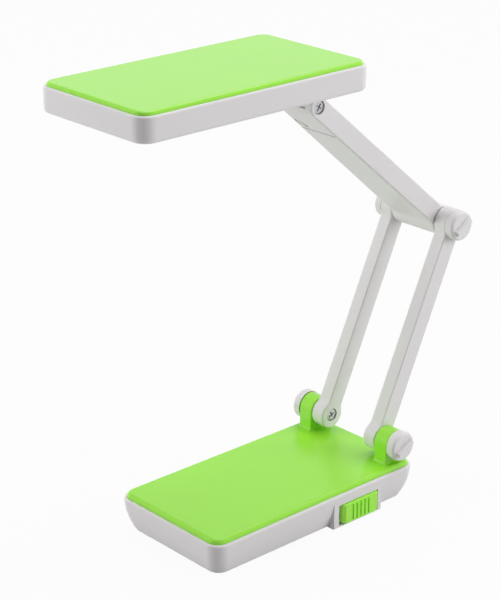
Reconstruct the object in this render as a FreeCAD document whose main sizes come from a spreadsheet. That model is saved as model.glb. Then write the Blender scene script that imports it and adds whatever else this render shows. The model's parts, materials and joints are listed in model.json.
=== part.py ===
import FreeCAD, Part
import math
import os
import Sketcher
from types import SimpleNamespace

# Folding desk lamp with a battery base, twin lower arms, one broad upper arm and a flat lamp head.
# Origin: on the desk, under the middle of the lamp's reach. X runs across, with the switch on the +X side.
# Y runs along the base, with the front at -Y and the hinges at the rear. Z is up.
# Angles are in degrees and everything else is in millimetres.

SIZES = {
    # Base: drafted tub, its rim, and the cover that lies inside the rim
    "base_length": 165.0,
    "base_width": 90.0,
    "base_corner": 9.0,
    "rim_height": 22.3,
    "rim_width": 1.8,
    "rim_round": 1.2,
    "rim_depth": 1.6,
    "wall_bow": 44.0,
    "foot_stand": 0.8,
    "tub_wall": 2.4,
    "tub_floor": 2.0,
    "tub_edge_round": 2.0,
    "cover_rise": 3.0,
    "cover_wall": 2.2,
    "cover_round": 2.4,
    # Clearances
    "shell_gap": 0.1,
    "running_fit": 0.05,
    "moving_gap": 0.4,
    "overrun": 1.0,
    # Feet
    "foot_radius": 5.0,
    "foot_recess": 0.6,
    "foot_side_inset": 14.0,
    "foot_end_inset": 16.5,
    # Base screws and their posts
    "post_radius": 4.0,
    "post_inset": 12.5,
    "post_switch_gap": 3.6,
    "post_top": 13.5,
    "post_seat": 8.0,
    "base_screw_radius": 1.45,
    "base_screw_head": 2.8,
    "base_screw_head_depth": 2.0,
    "base_screw_length": 12.0,
    # Battery
    "battery_length": 60.0,
    "battery_width": 34.0,
    "battery_height": 15.5,
    "battery_round": 1.5,
    "battery_middle": -28.0,
    "terminal_length": 6.0,
    "terminal_width": 4.8,
    "terminal_height": 0.8,
    "terminal_side": 10.0,
    "rib_thickness": 1.6,
    "rib_height": 8.0,
    "rib_length": 44.0,
    # Charging board, its screws and the socket at the rear
    "board_length": 46.0,
    "board_width": 44.0,
    "board_thickness": 1.6,
    "board_wall_gap": 4.0,
    "board_post_height": 3.4,
    "board_post_radius": 2.6,
    "board_post_inset": 4.0,
    "board_screw_radius": 1.0,
    "board_screw_head": 2.0,
    "board_screw_head_depth": 1.4,
    "board_screw_length": 4.4,
    "socket_width": 9.0,
    "socket_length": 13.0,
    "socket_height": 10.6,
    "socket_axis_height": 5.4,
    "socket_nose_radius": 4.0,
    "socket_bore_radius": 3.2,
    "socket_bore_depth": 9.0,
    "socket_pin_radius": 1.0,
    "socket_pin_setback": 1.0,
    "socket_nose_setback": 0.6,
    # Slide switch: raised bezel, button, lever and switch block
    "bezel_depth": 6.8,
    "bezel_front_end": 11.5,
    "bezel_length": 40.0,
    "bezel_top": 17.6,
    "bezel_round": 1.0,
    "recess_depth": 2.8,
    "button_length": 30.0,
    "button_height": 13.0,
    "button_low": 2.3,
    "button_rear_end": 48.4,
    "button_stand": 1.4,
    "button_travel": 2.5,
    "button_end_slope": 1.8,
    "button_round": 0.6,
    "button_corner": 1.6,
    "button_rib_width": 1.2,
    "button_rib_height": 0.7,
    "button_rib_pitch": 3.3,
    "button_rib_inset": 1.4,
    "lever_width": 3.0,
    "lever_height": 2.4,
    "lever_reach": 1.6,
    "lever_root": 3.6,
    "switch_length": 16.0,
    "switch_depth": 6.6,
    "switch_height": 8.0,
    # Hinge line on the base and the two lugs of the cover
    "pivot_inset": 11.8,
    "pivot_height": 37.0,
    "lug_radius": 9.0,
    "lug_width": 10.7,
    "lug_front_foot": 3.0,
    "lug_sink": 0.8,
    "lug_round": 0.8,
    "pivot_pin_radius": 2.5,
    # Lower arms
    "arm_length": 140.0,
    "arm_inner_face": 18.2,
    "arm_width": 9.5,
    "arm_thickness": 11.8,
    "pivot_knuckle": 8.8,
    "elbow_knuckle": 9.4,
    "knuckle_blend": 7.0,
    "arm_round": 0.9,
    "channel_width": 5.6,
    "channel_depth": 8.0,
    "channel_end": 18.0,
    "strip_thickness": 1.6,
    "strip_ledge": 0.8,
    "screw_head_radius": 3.9,
    "screw_head_depth": 2.2,
    "screw_sink": 0.5,
    "screw_head_play": 0.3,
    "washer_radius": 6.5,
    "washer_thickness": 0.3,
    "lead_radius": 1.4,
    # Caps outside the hinges
    "cap_radius": 9.4,
    "cap_thickness": 5.8,
    "cap_round": 1.8,
    "cap_bore_depth": 4.6,
    "ridge_length": 14.5,
    "ridge_width": 4.6,
    "ridge_height": 2.2,
    # Upper arm
    "upper_head_half": 14.8,
    "upper_thickness": 12.5,
    "upper_round": 0.9,
    "upper_wall": 2.0,
    "panel_start": 14.0,
    "panel_margin": 24.0,
    "panel_thickness": 1.6,
    "panel_rim": 1.0,
    "panel_seam": 0.8,
    "fork_depth": 12.0,
    "oval_length": 9.0,
    "oval_width": 4.0,
    "oval_depth": 0.8,
    "oval_groove": 0.8,
    "oval_side": 9.3,
    "oval_margin": 17.5,
    # Lamp head: tray, top panel and the hinge lug under it
    "head_length": 165.0,
    "head_width": 90.0,
    "head_corner": 9.0,
    "head_drop": 14.5,
    "head_depth": 14.8,
    "head_wall": 2.2,
    "head_floor": 2.0,
    "head_edge_round": 2.5,
    "head_panel_rise": 2.2,
    "head_panel_round": 1.8,
    "head_lug_half": 9.0,
    "head_lug_radius": 4.2,
    "head_lug_foot": 2.5,
    "head_pin_radius": 2.0,
    "head_pin_depth": 6.0,
    # Head screws and posts
    "head_post_radius": 3.4,
    "head_post_side": 37.0,
    "head_post_along": 74.0,
    "head_post_height": 6.0,
    "head_screw_radius": 1.25,
    "head_screw_head": 2.4,
    "head_screw_head_depth": 1.8,
    "head_screw_seat": 2.6,
    "head_screw_length": 9.0,
    # Light window, lens, reflector, board and light-emitting diodes
    "window_length": 112.0,
    "window_width": 58.0,
    "window_corner": 4.0,
    "window_margin": 18.0,
    "lens_flange": 3.0,
    "lens_flange_thickness": 1.2,
    "lens_setback": 0.3,
    "reflector_height": 6.3,
    "reflector_sheet": 1.0,
    "led_board_thickness": 1.6,
    "led_board_inset": 1.5,
    "led_radius": 2.5,
    "led_length": 4.6,
    "led_bevel": 1.2,
    "led_play": 0.3,
    "led_pitch_along": 17.0,
    "led_pitch_across": 13.0,
    "press_rib_width": 2.0,
    "press_rib_along": 40.0,
}
ANGLES = {
    "lower_lean_angle": 24.8,
    "upper_lean_angle": 49.1,
    "ridge_taper_angle": 18.0,
    "ridge_turn_angle": 35.0,
    "oval_turn_angle": 41.0,
}
LED_ROWS = 4
LED_COLUMNS = 6
BUTTON_RIBS = 5
SIDEWAYS_SHARE = 0.95
SIDES = (("left", -1), ("right", 1))


class Size:
    """A size that carries its value and the sheet formula that gives it."""

    def __init__(self, value, text):
        self.value = value
        self.text = text

    def __add__(self, other):
        other = as_size(other)
        return Size(self.value + other.value, f"({self.text} + {other.text})")

    def __sub__(self, other):
        other = as_size(other)
        return Size(self.value - other.value, f"({self.text} - {other.text})")

    def __mul__(self, other):
        other = as_size(other)
        return Size(self.value * other.value, f"({self.text} * {other.text})")

    def __truediv__(self, other):
        other = as_size(other)
        return Size(self.value / other.value, f"({self.text} / {other.text})")

    def __rsub__(self, other):
        return as_size(other) - self

    def __neg__(self):
        return Size(-self.value, f"(-{self.text})")

    __radd__ = __add__
    __rmul__ = __mul__


def as_size(number):
    """Let a count, a share or zero stand in a formula."""
    return number if isinstance(number, Size) else Size(float(number), f"({number})")


def root(size):
    return Size(math.sqrt(size.value), f"sqrt({size.text})")


def sine(angle):
    return Size(math.sin(math.radians(angle.value)), f"sin({angle.text})")


def cosine(angle):
    return Size(math.cos(math.radians(angle.value)), f"cos({angle.text})")


def fill_sheet(document):
    """Write the driving dimensions into the sheet and hand them back as sizes."""
    sheet = document.addObject("Spreadsheet::Sheet", "Sizes")
    values = {**SIZES, **ANGLES}
    for row, (name, value) in enumerate(values.items(), start=1):
        sheet.set(f"A{row}", name)
        sheet.set(f"B{row}", str(value))
        sheet.setAlias(f"B{row}", name)
    document.recompute()
    return SimpleNamespace(**{name: Size(value, f"Sizes.{name}") for name, value in values.items()})


def wall_inset(height):
    """How far the bowed wall of the base has come in at a height."""
    drop = S.rim_height - height
    return S.wall_bow - root(S.wall_bow * S.wall_bow - drop * drop)


doc = FreeCAD.newDocument("desk_lamp")
S = fill_sheet(doc)
ZERO = as_size(0)

# Places that several pieces share
HALF_LENGTH = S.base_length / 2
HALF_WIDTH = S.base_width / 2
FLOOR_TOP = S.foot_stand + S.tub_floor
BOTTOM_INSET = wall_inset(S.foot_stand)
FOOT_SIDE = HALF_WIDTH - S.foot_side_inset
FOOT_ALONG = HALF_LENGTH - S.foot_end_inset
POST_SIDE = HALF_WIDTH - S.post_inset
BEZEL_FACE = HALF_WIDTH
BEZEL_BACK = BEZEL_FACE - S.bezel_depth
RECESS_FLOOR = BEZEL_FACE - S.recess_depth
BUTTON_FACE = BEZEL_FACE + S.button_stand
COVER_LOW = S.rim_height - S.rim_depth
COVER_TOP = S.rim_height + S.cover_rise
COVER_UNDER = COVER_TOP - S.cover_wall
PIVOT_ALONG = HALF_LENGTH - S.pivot_inset
HEAD_REAR = S.pivot_inset
HEAD_FRONT = HEAD_REAR - S.head_length
LOWER_REACH = S.arm_length * sine(S.lower_lean_angle)
UPPER_REACH = S.arm_length * sine(S.upper_lean_angle)
LAMP_REAR = PIVOT_ALONG + LOWER_REACH + S.cap_radius
LAMP_FRONT = PIVOT_ALONG + LOWER_REACH - UPPER_REACH + HEAD_FRONT
BASE = (ZERO, -(LAMP_REAR + LAMP_FRONT) / 2, ZERO)
PIVOT = (ZERO, BASE[1] + PIVOT_ALONG, S.pivot_height)
ELBOW = (ZERO, PIVOT[1] + LOWER_REACH, PIVOT[2] + S.arm_length * cosine(S.lower_lean_angle))
HEAD = (ZERO, ELBOW[1] - UPPER_REACH, ELBOW[2] + S.arm_length * cosine(S.upper_lean_angle))
ARM_OUTER_FACE = S.arm_inner_face + S.arm_width
LUG_INNER_FACE = ARM_OUTER_FACE + S.moving_gap
LUG_OUTER_FACE = LUG_INNER_FACE + S.lug_width
UPPER_ELBOW_HALF = S.arm_inner_face - S.moving_gap
BUTTON_MIDDLE = S.button_rear_end - S.button_length / 2
SWITCH_REAR = BUTTON_MIDDLE - S.button_travel / 2 + S.switch_length / 2
POST_ALONG = SWITCH_REAR + S.post_switch_gap + S.post_radius
BUTTON_MID_HEIGHT = S.button_low + S.button_height / 2
BOARD_LOW = FLOOR_TOP + S.board_post_height
BOARD_TOP = BOARD_LOW + S.board_thickness
SOCKET_AXIS = BOARD_TOP + S.socket_axis_height
SOCKET_MOUTH = HALF_LENGTH - wall_inset(SOCKET_AXIS) - S.socket_nose_setback
SOCKET_REAR = HALF_LENGTH - wall_inset(BOARD_LOW) - S.tub_wall - S.board_wall_gap
BOARD_MIDDLE = SOCKET_REAR - S.board_length / 2
PANEL_END = S.arm_length - S.panel_margin
HEAD_MIDDLE = HEAD_REAR - S.head_length / 2
HEAD_RIM = S.head_drop + S.head_depth
HEAD_INSIDE = S.head_drop + S.head_floor
HEAD_PANEL_TOP = HEAD_RIM + S.head_panel_rise
HEAD_PANEL_UNDER = HEAD_PANEL_TOP - S.cover_wall
WINDOW_MIDDLE = HEAD_FRONT + S.window_margin + S.window_length / 2
LENS_TOP = HEAD_INSIDE + S.lens_flange_thickness
REFLECTOR_TOP = LENS_TOP + S.reflector_height
LED_BOARD_TOP = REFLECTOR_TOP + S.led_board_thickness


def bind(thing, path, size):
    thing.setExpression(path, size.text)


def new_body(label, place=BASE, lean=None):
    """Start a piece in the base's own frame, or leaning about X at one of the hinges."""
    body = doc.addObject("PartDesign::Body", label)
    body.Label = label
    tilt = FreeCAD.Rotation(FreeCAD.Vector(1, 0, 0), lean.value if lean else 0)
    body.Placement = FreeCAD.Placement(FreeCAD.Vector(*(part.value for part in place)), tilt)
    for axis, part in zip("xyz", place):
        bind(body, f"Placement.Base.{axis}", part)
    if lean:
        body.setExpression("Placement.Rotation.Angle", f"{lean.text} * 1 deg")
    return body


class Drawing:
    """One sketch on an origin plane of its body, with every corner tied to the sheet."""

    def __init__(self, body, plane, offset=ZERO):
        self.body = body
        self.sketch = body.newObject("Sketcher::SketchObject", "Sketch")
        support = next(item for item in body.Origin.OriginFeatures if item.Role == f"{plane}_Plane")
        self.sketch.AttachmentSupport = (support, [""])
        self.sketch.MapMode = "FlatFace"
        bind(self.sketch, "AttachmentOffset.Base.z", offset)
        self.shapes = []
        self.ties = []
        self.formulas = []

    def tie(self, kind, *ends, size=None):
        if size:
            self.formulas.append((len(self.ties), size.text))
            ends = (*ends, size.value)
        self.ties.append(Sketcher.Constraint(kind, *ends))

    def place(self, shape, end, point):
        """Fix one point by its distances from the sketch's two axes."""
        for kind, axis, size in (("DistanceX", -2, point[0]), ("DistanceY", -1, point[1])):
            if abs(size.value) < 1e-9:
                self.tie("PointOnObject", shape, end, axis)
            elif size.value > 0:
                self.tie(kind, -1, 1, shape, end, size=size)
            else:
                self.tie(kind, shape, end, -1, 1, size=-size)

    def circle(self, x, y, radius):
        middle = FreeCAD.Vector(x.value, y.value, 0)
        self.shapes.append(Part.Circle(middle, FreeCAD.Vector(0, 0, 1), radius.value))
        self.place(len(self.shapes) - 1, 3, (x, y))
        self.tie("Radius", len(self.shapes) - 1, size=radius)
        return self

    def path(self, start, *steps):
        """Draw a closed outline: a step is (x, y) for a line, or (x, y, radius, turn) for an arc."""
        first = len(self.shapes)
        here = start
        joints = []
        for step in steps:
            begin = FreeCAD.Vector(here[0].value, here[1].value, 0)
            end = FreeCAD.Vector(step[0].value, step[1].value, 0)
            index = len(self.shapes)
            if len(step) == 2:
                self.shapes.append(Part.LineSegment(begin, end))
                joints.append((index, 1, 2))
            else:
                self.shapes.append(short_arc(begin, end, step[2].value, step[3]))
                joints.append((index, 1, 2) if step[3] > 0 else (index, 2, 1))
                self.tie("Radius", index, size=step[2])
            here = step
        for number, (index, begin, end) in enumerate(joints):
            after = joints[(number + 1) % len(joints)]
            self.tie("Coincident", index, end, after[0], after[1])
            self.place(index, end, steps[number])
        return self

    def box(self, low_x, high_x, low_y, high_y):
        return self.path((low_x, low_y), (high_x, low_y), (high_x, high_y), (low_x, high_y), (low_x, low_y))

    def rounded_box(self, low_x, high_x, low_y, high_y, radius):
        return self.path(
            (low_x + radius, low_y),
            (high_x - radius, low_y),
            (high_x, low_y + radius, radius, 1),
            (high_x, high_y - radius),
            (high_x - radius, high_y, radius, 1),
            (low_x + radius, high_y),
            (low_x, high_y - radius, radius, 1),
            (low_x, low_y + radius),
            (low_x + radius, low_y, radius, 1),
        )

    def done(self):
        self.sketch.addGeometry(self.shapes, False)
        self.sketch.addConstraint(self.ties)
        for index, text in self.formulas:
            self.sketch.setExpression(f"Constraints[{index}]", text)
        return self.sketch

    def pad(self, length):
        """Raise the sketch along its plane's normal."""
        item = self.body.newObject("PartDesign::Pad", "Pad")
        item.Profile = self.done()
        bind(item, "Length", length)
        return item

    def pocket(self, length):
        """Cut the sketch out along its plane's normal."""
        item = self.body.newObject("PartDesign::Pocket", "Pocket")
        item.Profile = self.done()
        item.Reversed = True
        bind(item, "Length", length)
        return item

    def turn(self, axis):
        """Revolve the sketch about one of the body's axes."""
        item = self.body.newObject("PartDesign::Revolution", "Revolution")
        item.Profile = self.done()
        support = next(part for part in self.body.Origin.OriginFeatures if part.Role == f"{axis}_Axis")
        item.ReferenceAxis = (support, [""])
        return item


def short_arc(begin, end, radius, turn):
    """An arc of under half a circle that bends left (turn 1) or right (turn -1) of its way."""
    chord = end - begin
    left = FreeCAD.Vector(-chord.y, chord.x, 0).normalize()
    rise = math.sqrt(max(radius ** 2 - (chord.Length / 2) ** 2, 0))
    middle = (begin + end) / 2 + left * (rise * turn)
    from_angle = math.atan2(begin.y - middle.y, begin.x - middle.x)
    to_angle = math.atan2(end.y - middle.y, end.x - middle.x)
    circle = Part.Circle(middle, FreeCAD.Vector(0, 0, 1), radius)
    if turn > 0:
        return Part.ArcOfCircle(circle, from_angle, to_angle)
    return Part.ArcOfCircle(circle, to_angle, from_angle)


def loft(body, kind, low, high):
    item = body.newObject(f"PartDesign::{kind}Loft", "Loft")
    item.Profile = low.done()
    item.Sections = [high.done()]
    item.Ruled = True
    return item


def soften(body, kind, measure, feature, size, test):
    """Round or bevel the edges of the feature that pass the test."""
    doc.recompute()
    names = [f"Edge{number}" for number, edge in enumerate(feature.Shape.Edges, start=1) if test(edge)]
    item = body.newObject(f"PartDesign::{kind}", kind)
    item.Base = (feature, names)
    bind(item, measure, size)
    return item


def fillet(body, feature, radius, test):
    return soften(body, "Fillet", "Radius", feature, radius, test)


def level_edge(axis, place):
    """A test for edges that lie wholly in the plane across the axis at the place."""
    def test(edge):
        first, last = edge.ParameterRange
        spots = [edge.valueAt(spot) for spot in (first, (first + last) / 2, last)]
        return all(abs(getattr(spot, axis) - place.value) < 1e-4 for spot in spots)
    return test


def side_rim(feature):
    """A test for edges where a face that looks sideways meets one that does not."""
    def sideways(face):
        return abs(face.normalAt(0, 0).x) > SIDEWAYS_SHARE

    def test(edge):
        faces = feature.Shape.ancestorsOfType(edge, Part.Face)
        return sum(sideways(face) for face in faces) == 1
    return test


def corners(side, along):
    """The four places at plus and minus the two distances."""
    return [(x, y) for x in (-side, side) for y in (-along, along)]


def inset_outline(drawing, inset, radius):
    """The base's outline, drawn in by the inset."""
    return drawing.rounded_box(
        inset - HALF_WIDTH, HALF_WIDTH - inset, inset - HALF_LENGTH, HALF_LENGTH - inset, radius
    )


# Base


def base_tub():
    body = new_body("base_tub")
    bowed_hull(body)
    inner_corner = S.base_corner - S.tub_wall
    loft(
        body,
        "Subtractive",
        inset_outline(Drawing(body, "XY", FLOOR_TOP), wall_inset(FLOOR_TOP) + S.tub_wall, inner_corner),
        inset_outline(Drawing(body, "XY", S.rim_height), S.tub_wall, inner_corner),
    )
    seat = Drawing(body, "XY", COVER_LOW)
    inset_outline(seat, S.rim_width, S.base_corner - S.rim_width).pocket(S.rim_depth)
    switch_bezel(body)
    tub_posts(body)
    socket_hole = Drawing(body, "XZ", -HALF_LENGTH)
    socket_hole.circle(ZERO, SOCKET_AXIS, S.socket_nose_radius + S.shell_gap).pocket(S.base_length / 4)
    recesses = Drawing(body, "XY", S.foot_stand)
    for x, y in corners(FOOT_SIDE, FOOT_ALONG):
        recesses.circle(x, y, S.foot_radius + S.shell_gap)
    recesses.pocket(S.foot_recess)
    return body


def bowed_hull(body):
    """The tub's outside: walls that bow inwards to the bottom, with soft corners, foot and rim."""
    bottom = HALF_WIDTH - BOTTOM_INSET
    section = Drawing(body, "XZ", -HALF_LENGTH - S.overrun)
    section.path(
        (-HALF_WIDTH, S.rim_height),
        (-bottom, S.foot_stand, S.wall_bow, 1),
        (bottom, S.foot_stand),
        (HALF_WIDTH, S.rim_height, S.wall_bow, 1),
        (-HALF_WIDTH, S.rim_height),
    ).pad(S.base_length + S.overrun + S.overrun)
    ends = Drawing(body, "YZ", -HALF_WIDTH - S.overrun)
    bottom = HALF_LENGTH - BOTTOM_INSET
    out = HALF_LENGTH + S.overrun + S.overrun
    for sign in (-1, 1):
        ends.path(
            (bottom * sign, S.foot_stand - S.overrun),
            (bottom * sign, S.foot_stand),
            (HALF_LENGTH * sign, S.rim_height, S.wall_bow, sign),
            (HALF_LENGTH * sign, S.rim_height + S.overrun),
            (out * sign, S.rim_height + S.overrun),
            (out * sign, S.foot_stand - S.overrun),
            (bottom * sign, S.foot_stand - S.overrun),
        )
    hull = ends.pocket(S.base_width + S.overrun + S.overrun)
    hull = fillet(body, hull, S.base_corner, lambda edge: edge.BoundBox.ZLength > S.rim_depth.value)
    hull = fillet(body, hull, S.tub_edge_round, level_edge("z", S.foot_stand))
    fillet(body, hull, S.rim_round, level_edge("z", S.rim_height))


def switch_bezel(body):
    """The upright housing of the switch, with the recess that the button slides in."""
    block = Drawing(body, "YZ", BEZEL_BACK)
    rear_end = S.bezel_front_end + S.bezel_length
    block.box(S.bezel_front_end, rear_end, S.foot_stand, S.bezel_top)
    raised = block.pad(BEZEL_FACE - BEZEL_BACK)
    front = level_edge("x", BEZEL_FACE)
    low = level_edge("z", S.foot_stand)
    fillet(body, raised, S.bezel_round, lambda edge: front(edge) and low(edge))
    recess = Drawing(body, "YZ", RECESS_FLOOR)
    recess.box(
        S.button_rear_end - S.button_length - S.button_travel - S.moving_gap,
        S.button_rear_end + S.moving_gap,
        S.button_low - S.moving_gap,
        S.button_low + S.button_height + S.moving_gap,
    ).pocket(BEZEL_FACE - RECESS_FLOOR + S.overrun)
    slot = Drawing(body, "YZ", BEZEL_BACK - S.overrun)
    lever_slot(slot).pocket(RECESS_FLOOR - BEZEL_BACK + S.overrun + S.overrun)


def lever_slot(drawing):
    """The window that the lever travels in."""
    return drawing.box(
        BUTTON_MIDDLE - S.button_travel - S.lever_width / 2 - S.moving_gap,
        BUTTON_MIDDLE + S.lever_width / 2 + S.moving_gap,
        BUTTON_MID_HEIGHT - S.lever_height / 2 - S.moving_gap,
        BUTTON_MID_HEIGHT + S.lever_height / 2 + S.moving_gap,
    )


def board_corners():
    inset = S.board_post_inset
    side = S.board_width / 2 - inset
    reach = S.board_length / 2 - inset
    return [(x, BOARD_MIDDLE + y) for x, y in corners(side, reach)]


def tub_posts(body):
    """Screw posts, battery ribs and board posts on the tub's floor."""
    posts = Drawing(body, "XY", FLOOR_TOP)
    for x, y in corners(POST_SIDE, POST_ALONG):
        posts.circle(x, y, S.post_radius)
    posts.pad(S.post_top - FLOOR_TOP)
    small_posts = Drawing(body, "XY", FLOOR_TOP)
    for x, y in board_corners():
        small_posts.circle(x, y, S.board_post_radius)
    small_posts.pad(S.board_post_height)
    ribs = Drawing(body, "XY", FLOOR_TOP)
    near = S.battery_width / 2 + S.shell_gap
    for low in (near, -near - S.rib_thickness):
        low_y = S.battery_middle - S.rib_length / 2
        ribs.box(low, low + S.rib_thickness, low_y, low_y + S.rib_length)
    ribs.pad(S.rib_height)
    seats = Drawing(body, "XY", S.foot_stand)
    holes = Drawing(body, "XY", S.post_seat - S.overrun)
    for x, y in corners(POST_SIDE, POST_ALONG):
        seats.circle(x, y, S.base_screw_head + S.shell_gap)
        holes.circle(x, y, S.base_screw_radius + S.shell_gap)
    seats.pocket(S.post_seat - S.foot_stand)
    holes.pocket(S.post_top - S.post_seat + S.overrun + S.overrun)
    pilots = Drawing(body, "XY", BOARD_LOW - S.board_screw_length)
    for x, y in board_corners():
        pilots.circle(x, y, S.board_screw_radius + S.running_fit)
    pilots.pocket(S.board_screw_length + S.overrun)


def base_cover():
    body = new_body("base_cover")
    inset = S.rim_width + S.shell_gap
    corner = S.base_corner - inset
    plate = inset_outline(Drawing(body, "XY", COVER_LOW), inset, corner).pad(COVER_TOP - COVER_LOW)
    fillet(body, plate, S.cover_round, level_edge("z", COVER_TOP))
    hollow = Drawing(body, "XY", COVER_LOW)
    inset_outline(hollow, inset + S.cover_wall, corner - S.cover_wall).pocket(COVER_UNDER - COVER_LOW)
    posts = Drawing(body, "XY", S.post_top + S.shell_gap)
    for x, y in corners(POST_SIDE, POST_ALONG):
        posts.circle(x, y, S.post_radius)
    posts.pad(COVER_UNDER - S.post_top)
    pilots = Drawing(body, "XY", S.post_top)
    for x, y in corners(POST_SIDE, POST_ALONG):
        pilots.circle(x, y, S.base_screw_radius + S.running_fit)
    pilots.pocket(S.base_screw_length - S.post_top + S.post_seat + S.overrun)
    for low in (LUG_INNER_FACE, -LUG_OUTER_FACE):
        lug = lug_outline(Drawing(body, "YZ", low)).pad(S.lug_width)
        fillet(body, lug, S.lug_round, lug_edge(low))
    reach = LUG_OUTER_FACE + S.overrun
    bore = Drawing(body, "YZ", -reach)
    bore.circle(PIVOT_ALONG, S.pivot_height, S.pivot_pin_radius + S.running_fit).pocket(reach + reach)
    return body


def lug_outline(drawing):
    """An upright tab with a round top, and a swept foot on its front side that sinks into the cover."""
    y = PIVOT_ALONG
    z = S.pivot_height
    radius = S.lug_radius
    foot = S.lug_front_foot
    low = COVER_TOP - S.lug_sink
    return drawing.path(
        (y - radius - foot, low),
        (y - radius - foot, COVER_UNDER),
        (y + radius, COVER_UNDER),
        (y + radius, z),
        (y, z + radius, radius, 1),
        (y - radius, z, radius, 1),
        (y - radius, low + foot),
        (y - radius - foot, low, foot, -1),
    )


def lug_edge(low):
    """A test for the edges of a lug's two faces that stand above the cover."""
    faces = (level_edge("x", low), level_edge("x", low + S.lug_width))

    def test(edge):
        return edge.BoundBox.ZMax > COVER_TOP.value + 1e-3 and any(face(edge) for face in faces)
    return test


def foot_pads():
    body = new_body("foot_pads")
    pads = Drawing(body, "XY")
    for x, y in corners(FOOT_SIDE, FOOT_ALONG):
        pads.circle(x, y, S.foot_radius)
    pads.pad(S.foot_stand + S.foot_recess)
    return body


def screw_group(label, places, radius, head, seat, length, down=False, place=BASE):
    """Upright screws that share one node: a flat head under or over the seat, and a shank."""
    body = new_body(label, place)
    heads = Drawing(body, "XY", seat if down else seat - head[1])
    shanks = Drawing(body, "XY", seat - length if down else seat)
    for x, y in places:
        heads.circle(x, y, head[0])
        shanks.circle(x, y, radius)
    heads.pad(head[1])
    shanks.pad(length)
    return body


def battery():
    body = new_body("battery")
    low_x = -S.battery_width / 2
    low_y = S.battery_middle - S.battery_length / 2
    block = Drawing(body, "XY", FLOOR_TOP)
    block.rounded_box(low_x, -low_x, low_y, low_y + S.battery_length, S.battery_round)
    block.pad(S.battery_height)
    tabs = Drawing(body, "XY", FLOOR_TOP + S.battery_height)
    rear = low_y + S.battery_length
    for side in (-S.terminal_side, S.terminal_side):
        half = S.terminal_width / 2
        tabs.box(side - half, side + half, rear - S.terminal_length, rear)
    tabs.pad(S.terminal_height)
    return body


def charger_board():
    body = new_body("charger_board")
    half = S.board_width / 2
    reach = S.board_length / 2
    plate = Drawing(body, "XY", BOARD_LOW)
    plate.box(-half, half, BOARD_MIDDLE - reach, BOARD_MIDDLE + reach)
    for x, y in board_corners():
        plate.circle(x, y, S.board_screw_radius + S.shell_gap)
    plate.pad(S.board_thickness)
    return body


def charge_socket():
    body = new_body("charge_socket")
    half = S.socket_width / 2
    block = Drawing(body, "XY", BOARD_TOP)
    block.box(-half, half, SOCKET_REAR - S.socket_length, SOCKET_REAR).pad(S.socket_height)
    nose = Drawing(body, "XZ", -SOCKET_MOUTH)
    nose.circle(ZERO, SOCKET_AXIS, S.socket_nose_radius).pad(SOCKET_MOUTH - SOCKET_REAR)
    bore = Drawing(body, "XZ", -SOCKET_MOUTH)
    bore.circle(ZERO, SOCKET_AXIS, S.socket_bore_radius).pocket(S.socket_bore_depth)
    return body


def socket_pin():
    """The contact that stands in the middle of the socket's bore."""
    body = new_body("socket_pin")
    pin = Drawing(body, "XZ", S.socket_pin_setback - SOCKET_MOUTH)
    pin.circle(ZERO, SOCKET_AXIS, S.socket_pin_radius).pad(S.socket_bore_depth - S.socket_pin_setback)
    return body


# Switch


def slide_switch():
    body = new_body("slide_switch")
    low_y = SWITCH_REAR - S.switch_length
    low_z = BUTTON_MID_HEIGHT - S.switch_height / 2
    block = Drawing(body, "YZ", BEZEL_BACK - S.switch_depth)
    block.box(low_y, low_y + S.switch_length, low_z, low_z + S.switch_height).pad(S.switch_depth)
    window = Drawing(body, "YZ", BEZEL_BACK - S.lever_root - S.moving_gap)
    lever_slot(window).pocket(S.lever_root + S.moving_gap + S.overrun)
    return body


def switch_lever():
    body = new_body("switch_lever")
    tab = Drawing(body, "YZ", BEZEL_BACK - S.lever_root)
    half = S.lever_width / 2
    rise = S.lever_height / 2
    tab.box(BUTTON_MIDDLE - half, BUTTON_MIDDLE + half, BUTTON_MID_HEIGHT - rise, BUTTON_MID_HEIGHT + rise)
    tab.pad(RECESS_FLOOR + S.moving_gap + S.lever_reach - BEZEL_BACK + S.lever_root)
    return body


def button_end_edge(edge):
    """A test for the upper and lower edges of the button's two ends."""
    box = edge.BoundBox
    rear = S.button_rear_end.value
    slope = S.button_end_slope.value
    at_end = box.YMin > rear - slope - 1e-3 or box.YMax < rear - S.button_length.value + slope + 1e-3
    return at_end and box.ZLength < 1e-3 and box.XLength > 1e-3


def switch_slider():
    """The button: sloped ends, upright grip ribs, and a pocket behind for the lever."""
    body = new_body("switch_slider")
    back = RECESS_FLOOR + S.moving_gap
    rear = S.button_rear_end
    front = rear - S.button_length
    slope = S.button_end_slope
    side = Drawing(body, "XY", S.button_low)
    outline = side.path(
        (back, front),
        (BEZEL_FACE, front),
        (BUTTON_FACE, front + slope),
        (BUTTON_FACE, rear - slope),
        (BEZEL_FACE, rear),
        (back, rear),
        (back, front),
    ).pad(S.button_height)
    outline = fillet(body, outline, S.button_corner, button_end_edge)
    fillet(body, outline, S.button_round, level_edge("x", BUTTON_FACE))
    ribs = Drawing(body, "YZ", BUTTON_FACE - S.button_round)
    for number in range(BUTTON_RIBS):
        middle = BUTTON_MIDDLE + S.button_rib_pitch * (number - (BUTTON_RIBS - 1) / 2)
        half = S.button_rib_width / 2
        low = S.button_low + S.button_rib_inset
        high = S.button_low + S.button_height - S.button_rib_inset
        ribs.box(middle - half, middle + half, low, high)
    ribs.pad(S.button_round + S.button_rib_height)
    hole = Drawing(body, "YZ", back)
    half = S.lever_width / 2 + S.shell_gap
    rise = S.lever_height / 2 + S.shell_gap
    hole.box(BUTTON_MIDDLE - half, BUTTON_MIDDLE + half, BUTTON_MID_HEIGHT - rise, BUTTON_MID_HEIGHT + rise)
    hole.pocket(S.lever_reach + S.shell_gap)
    return body


# Arms


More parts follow.
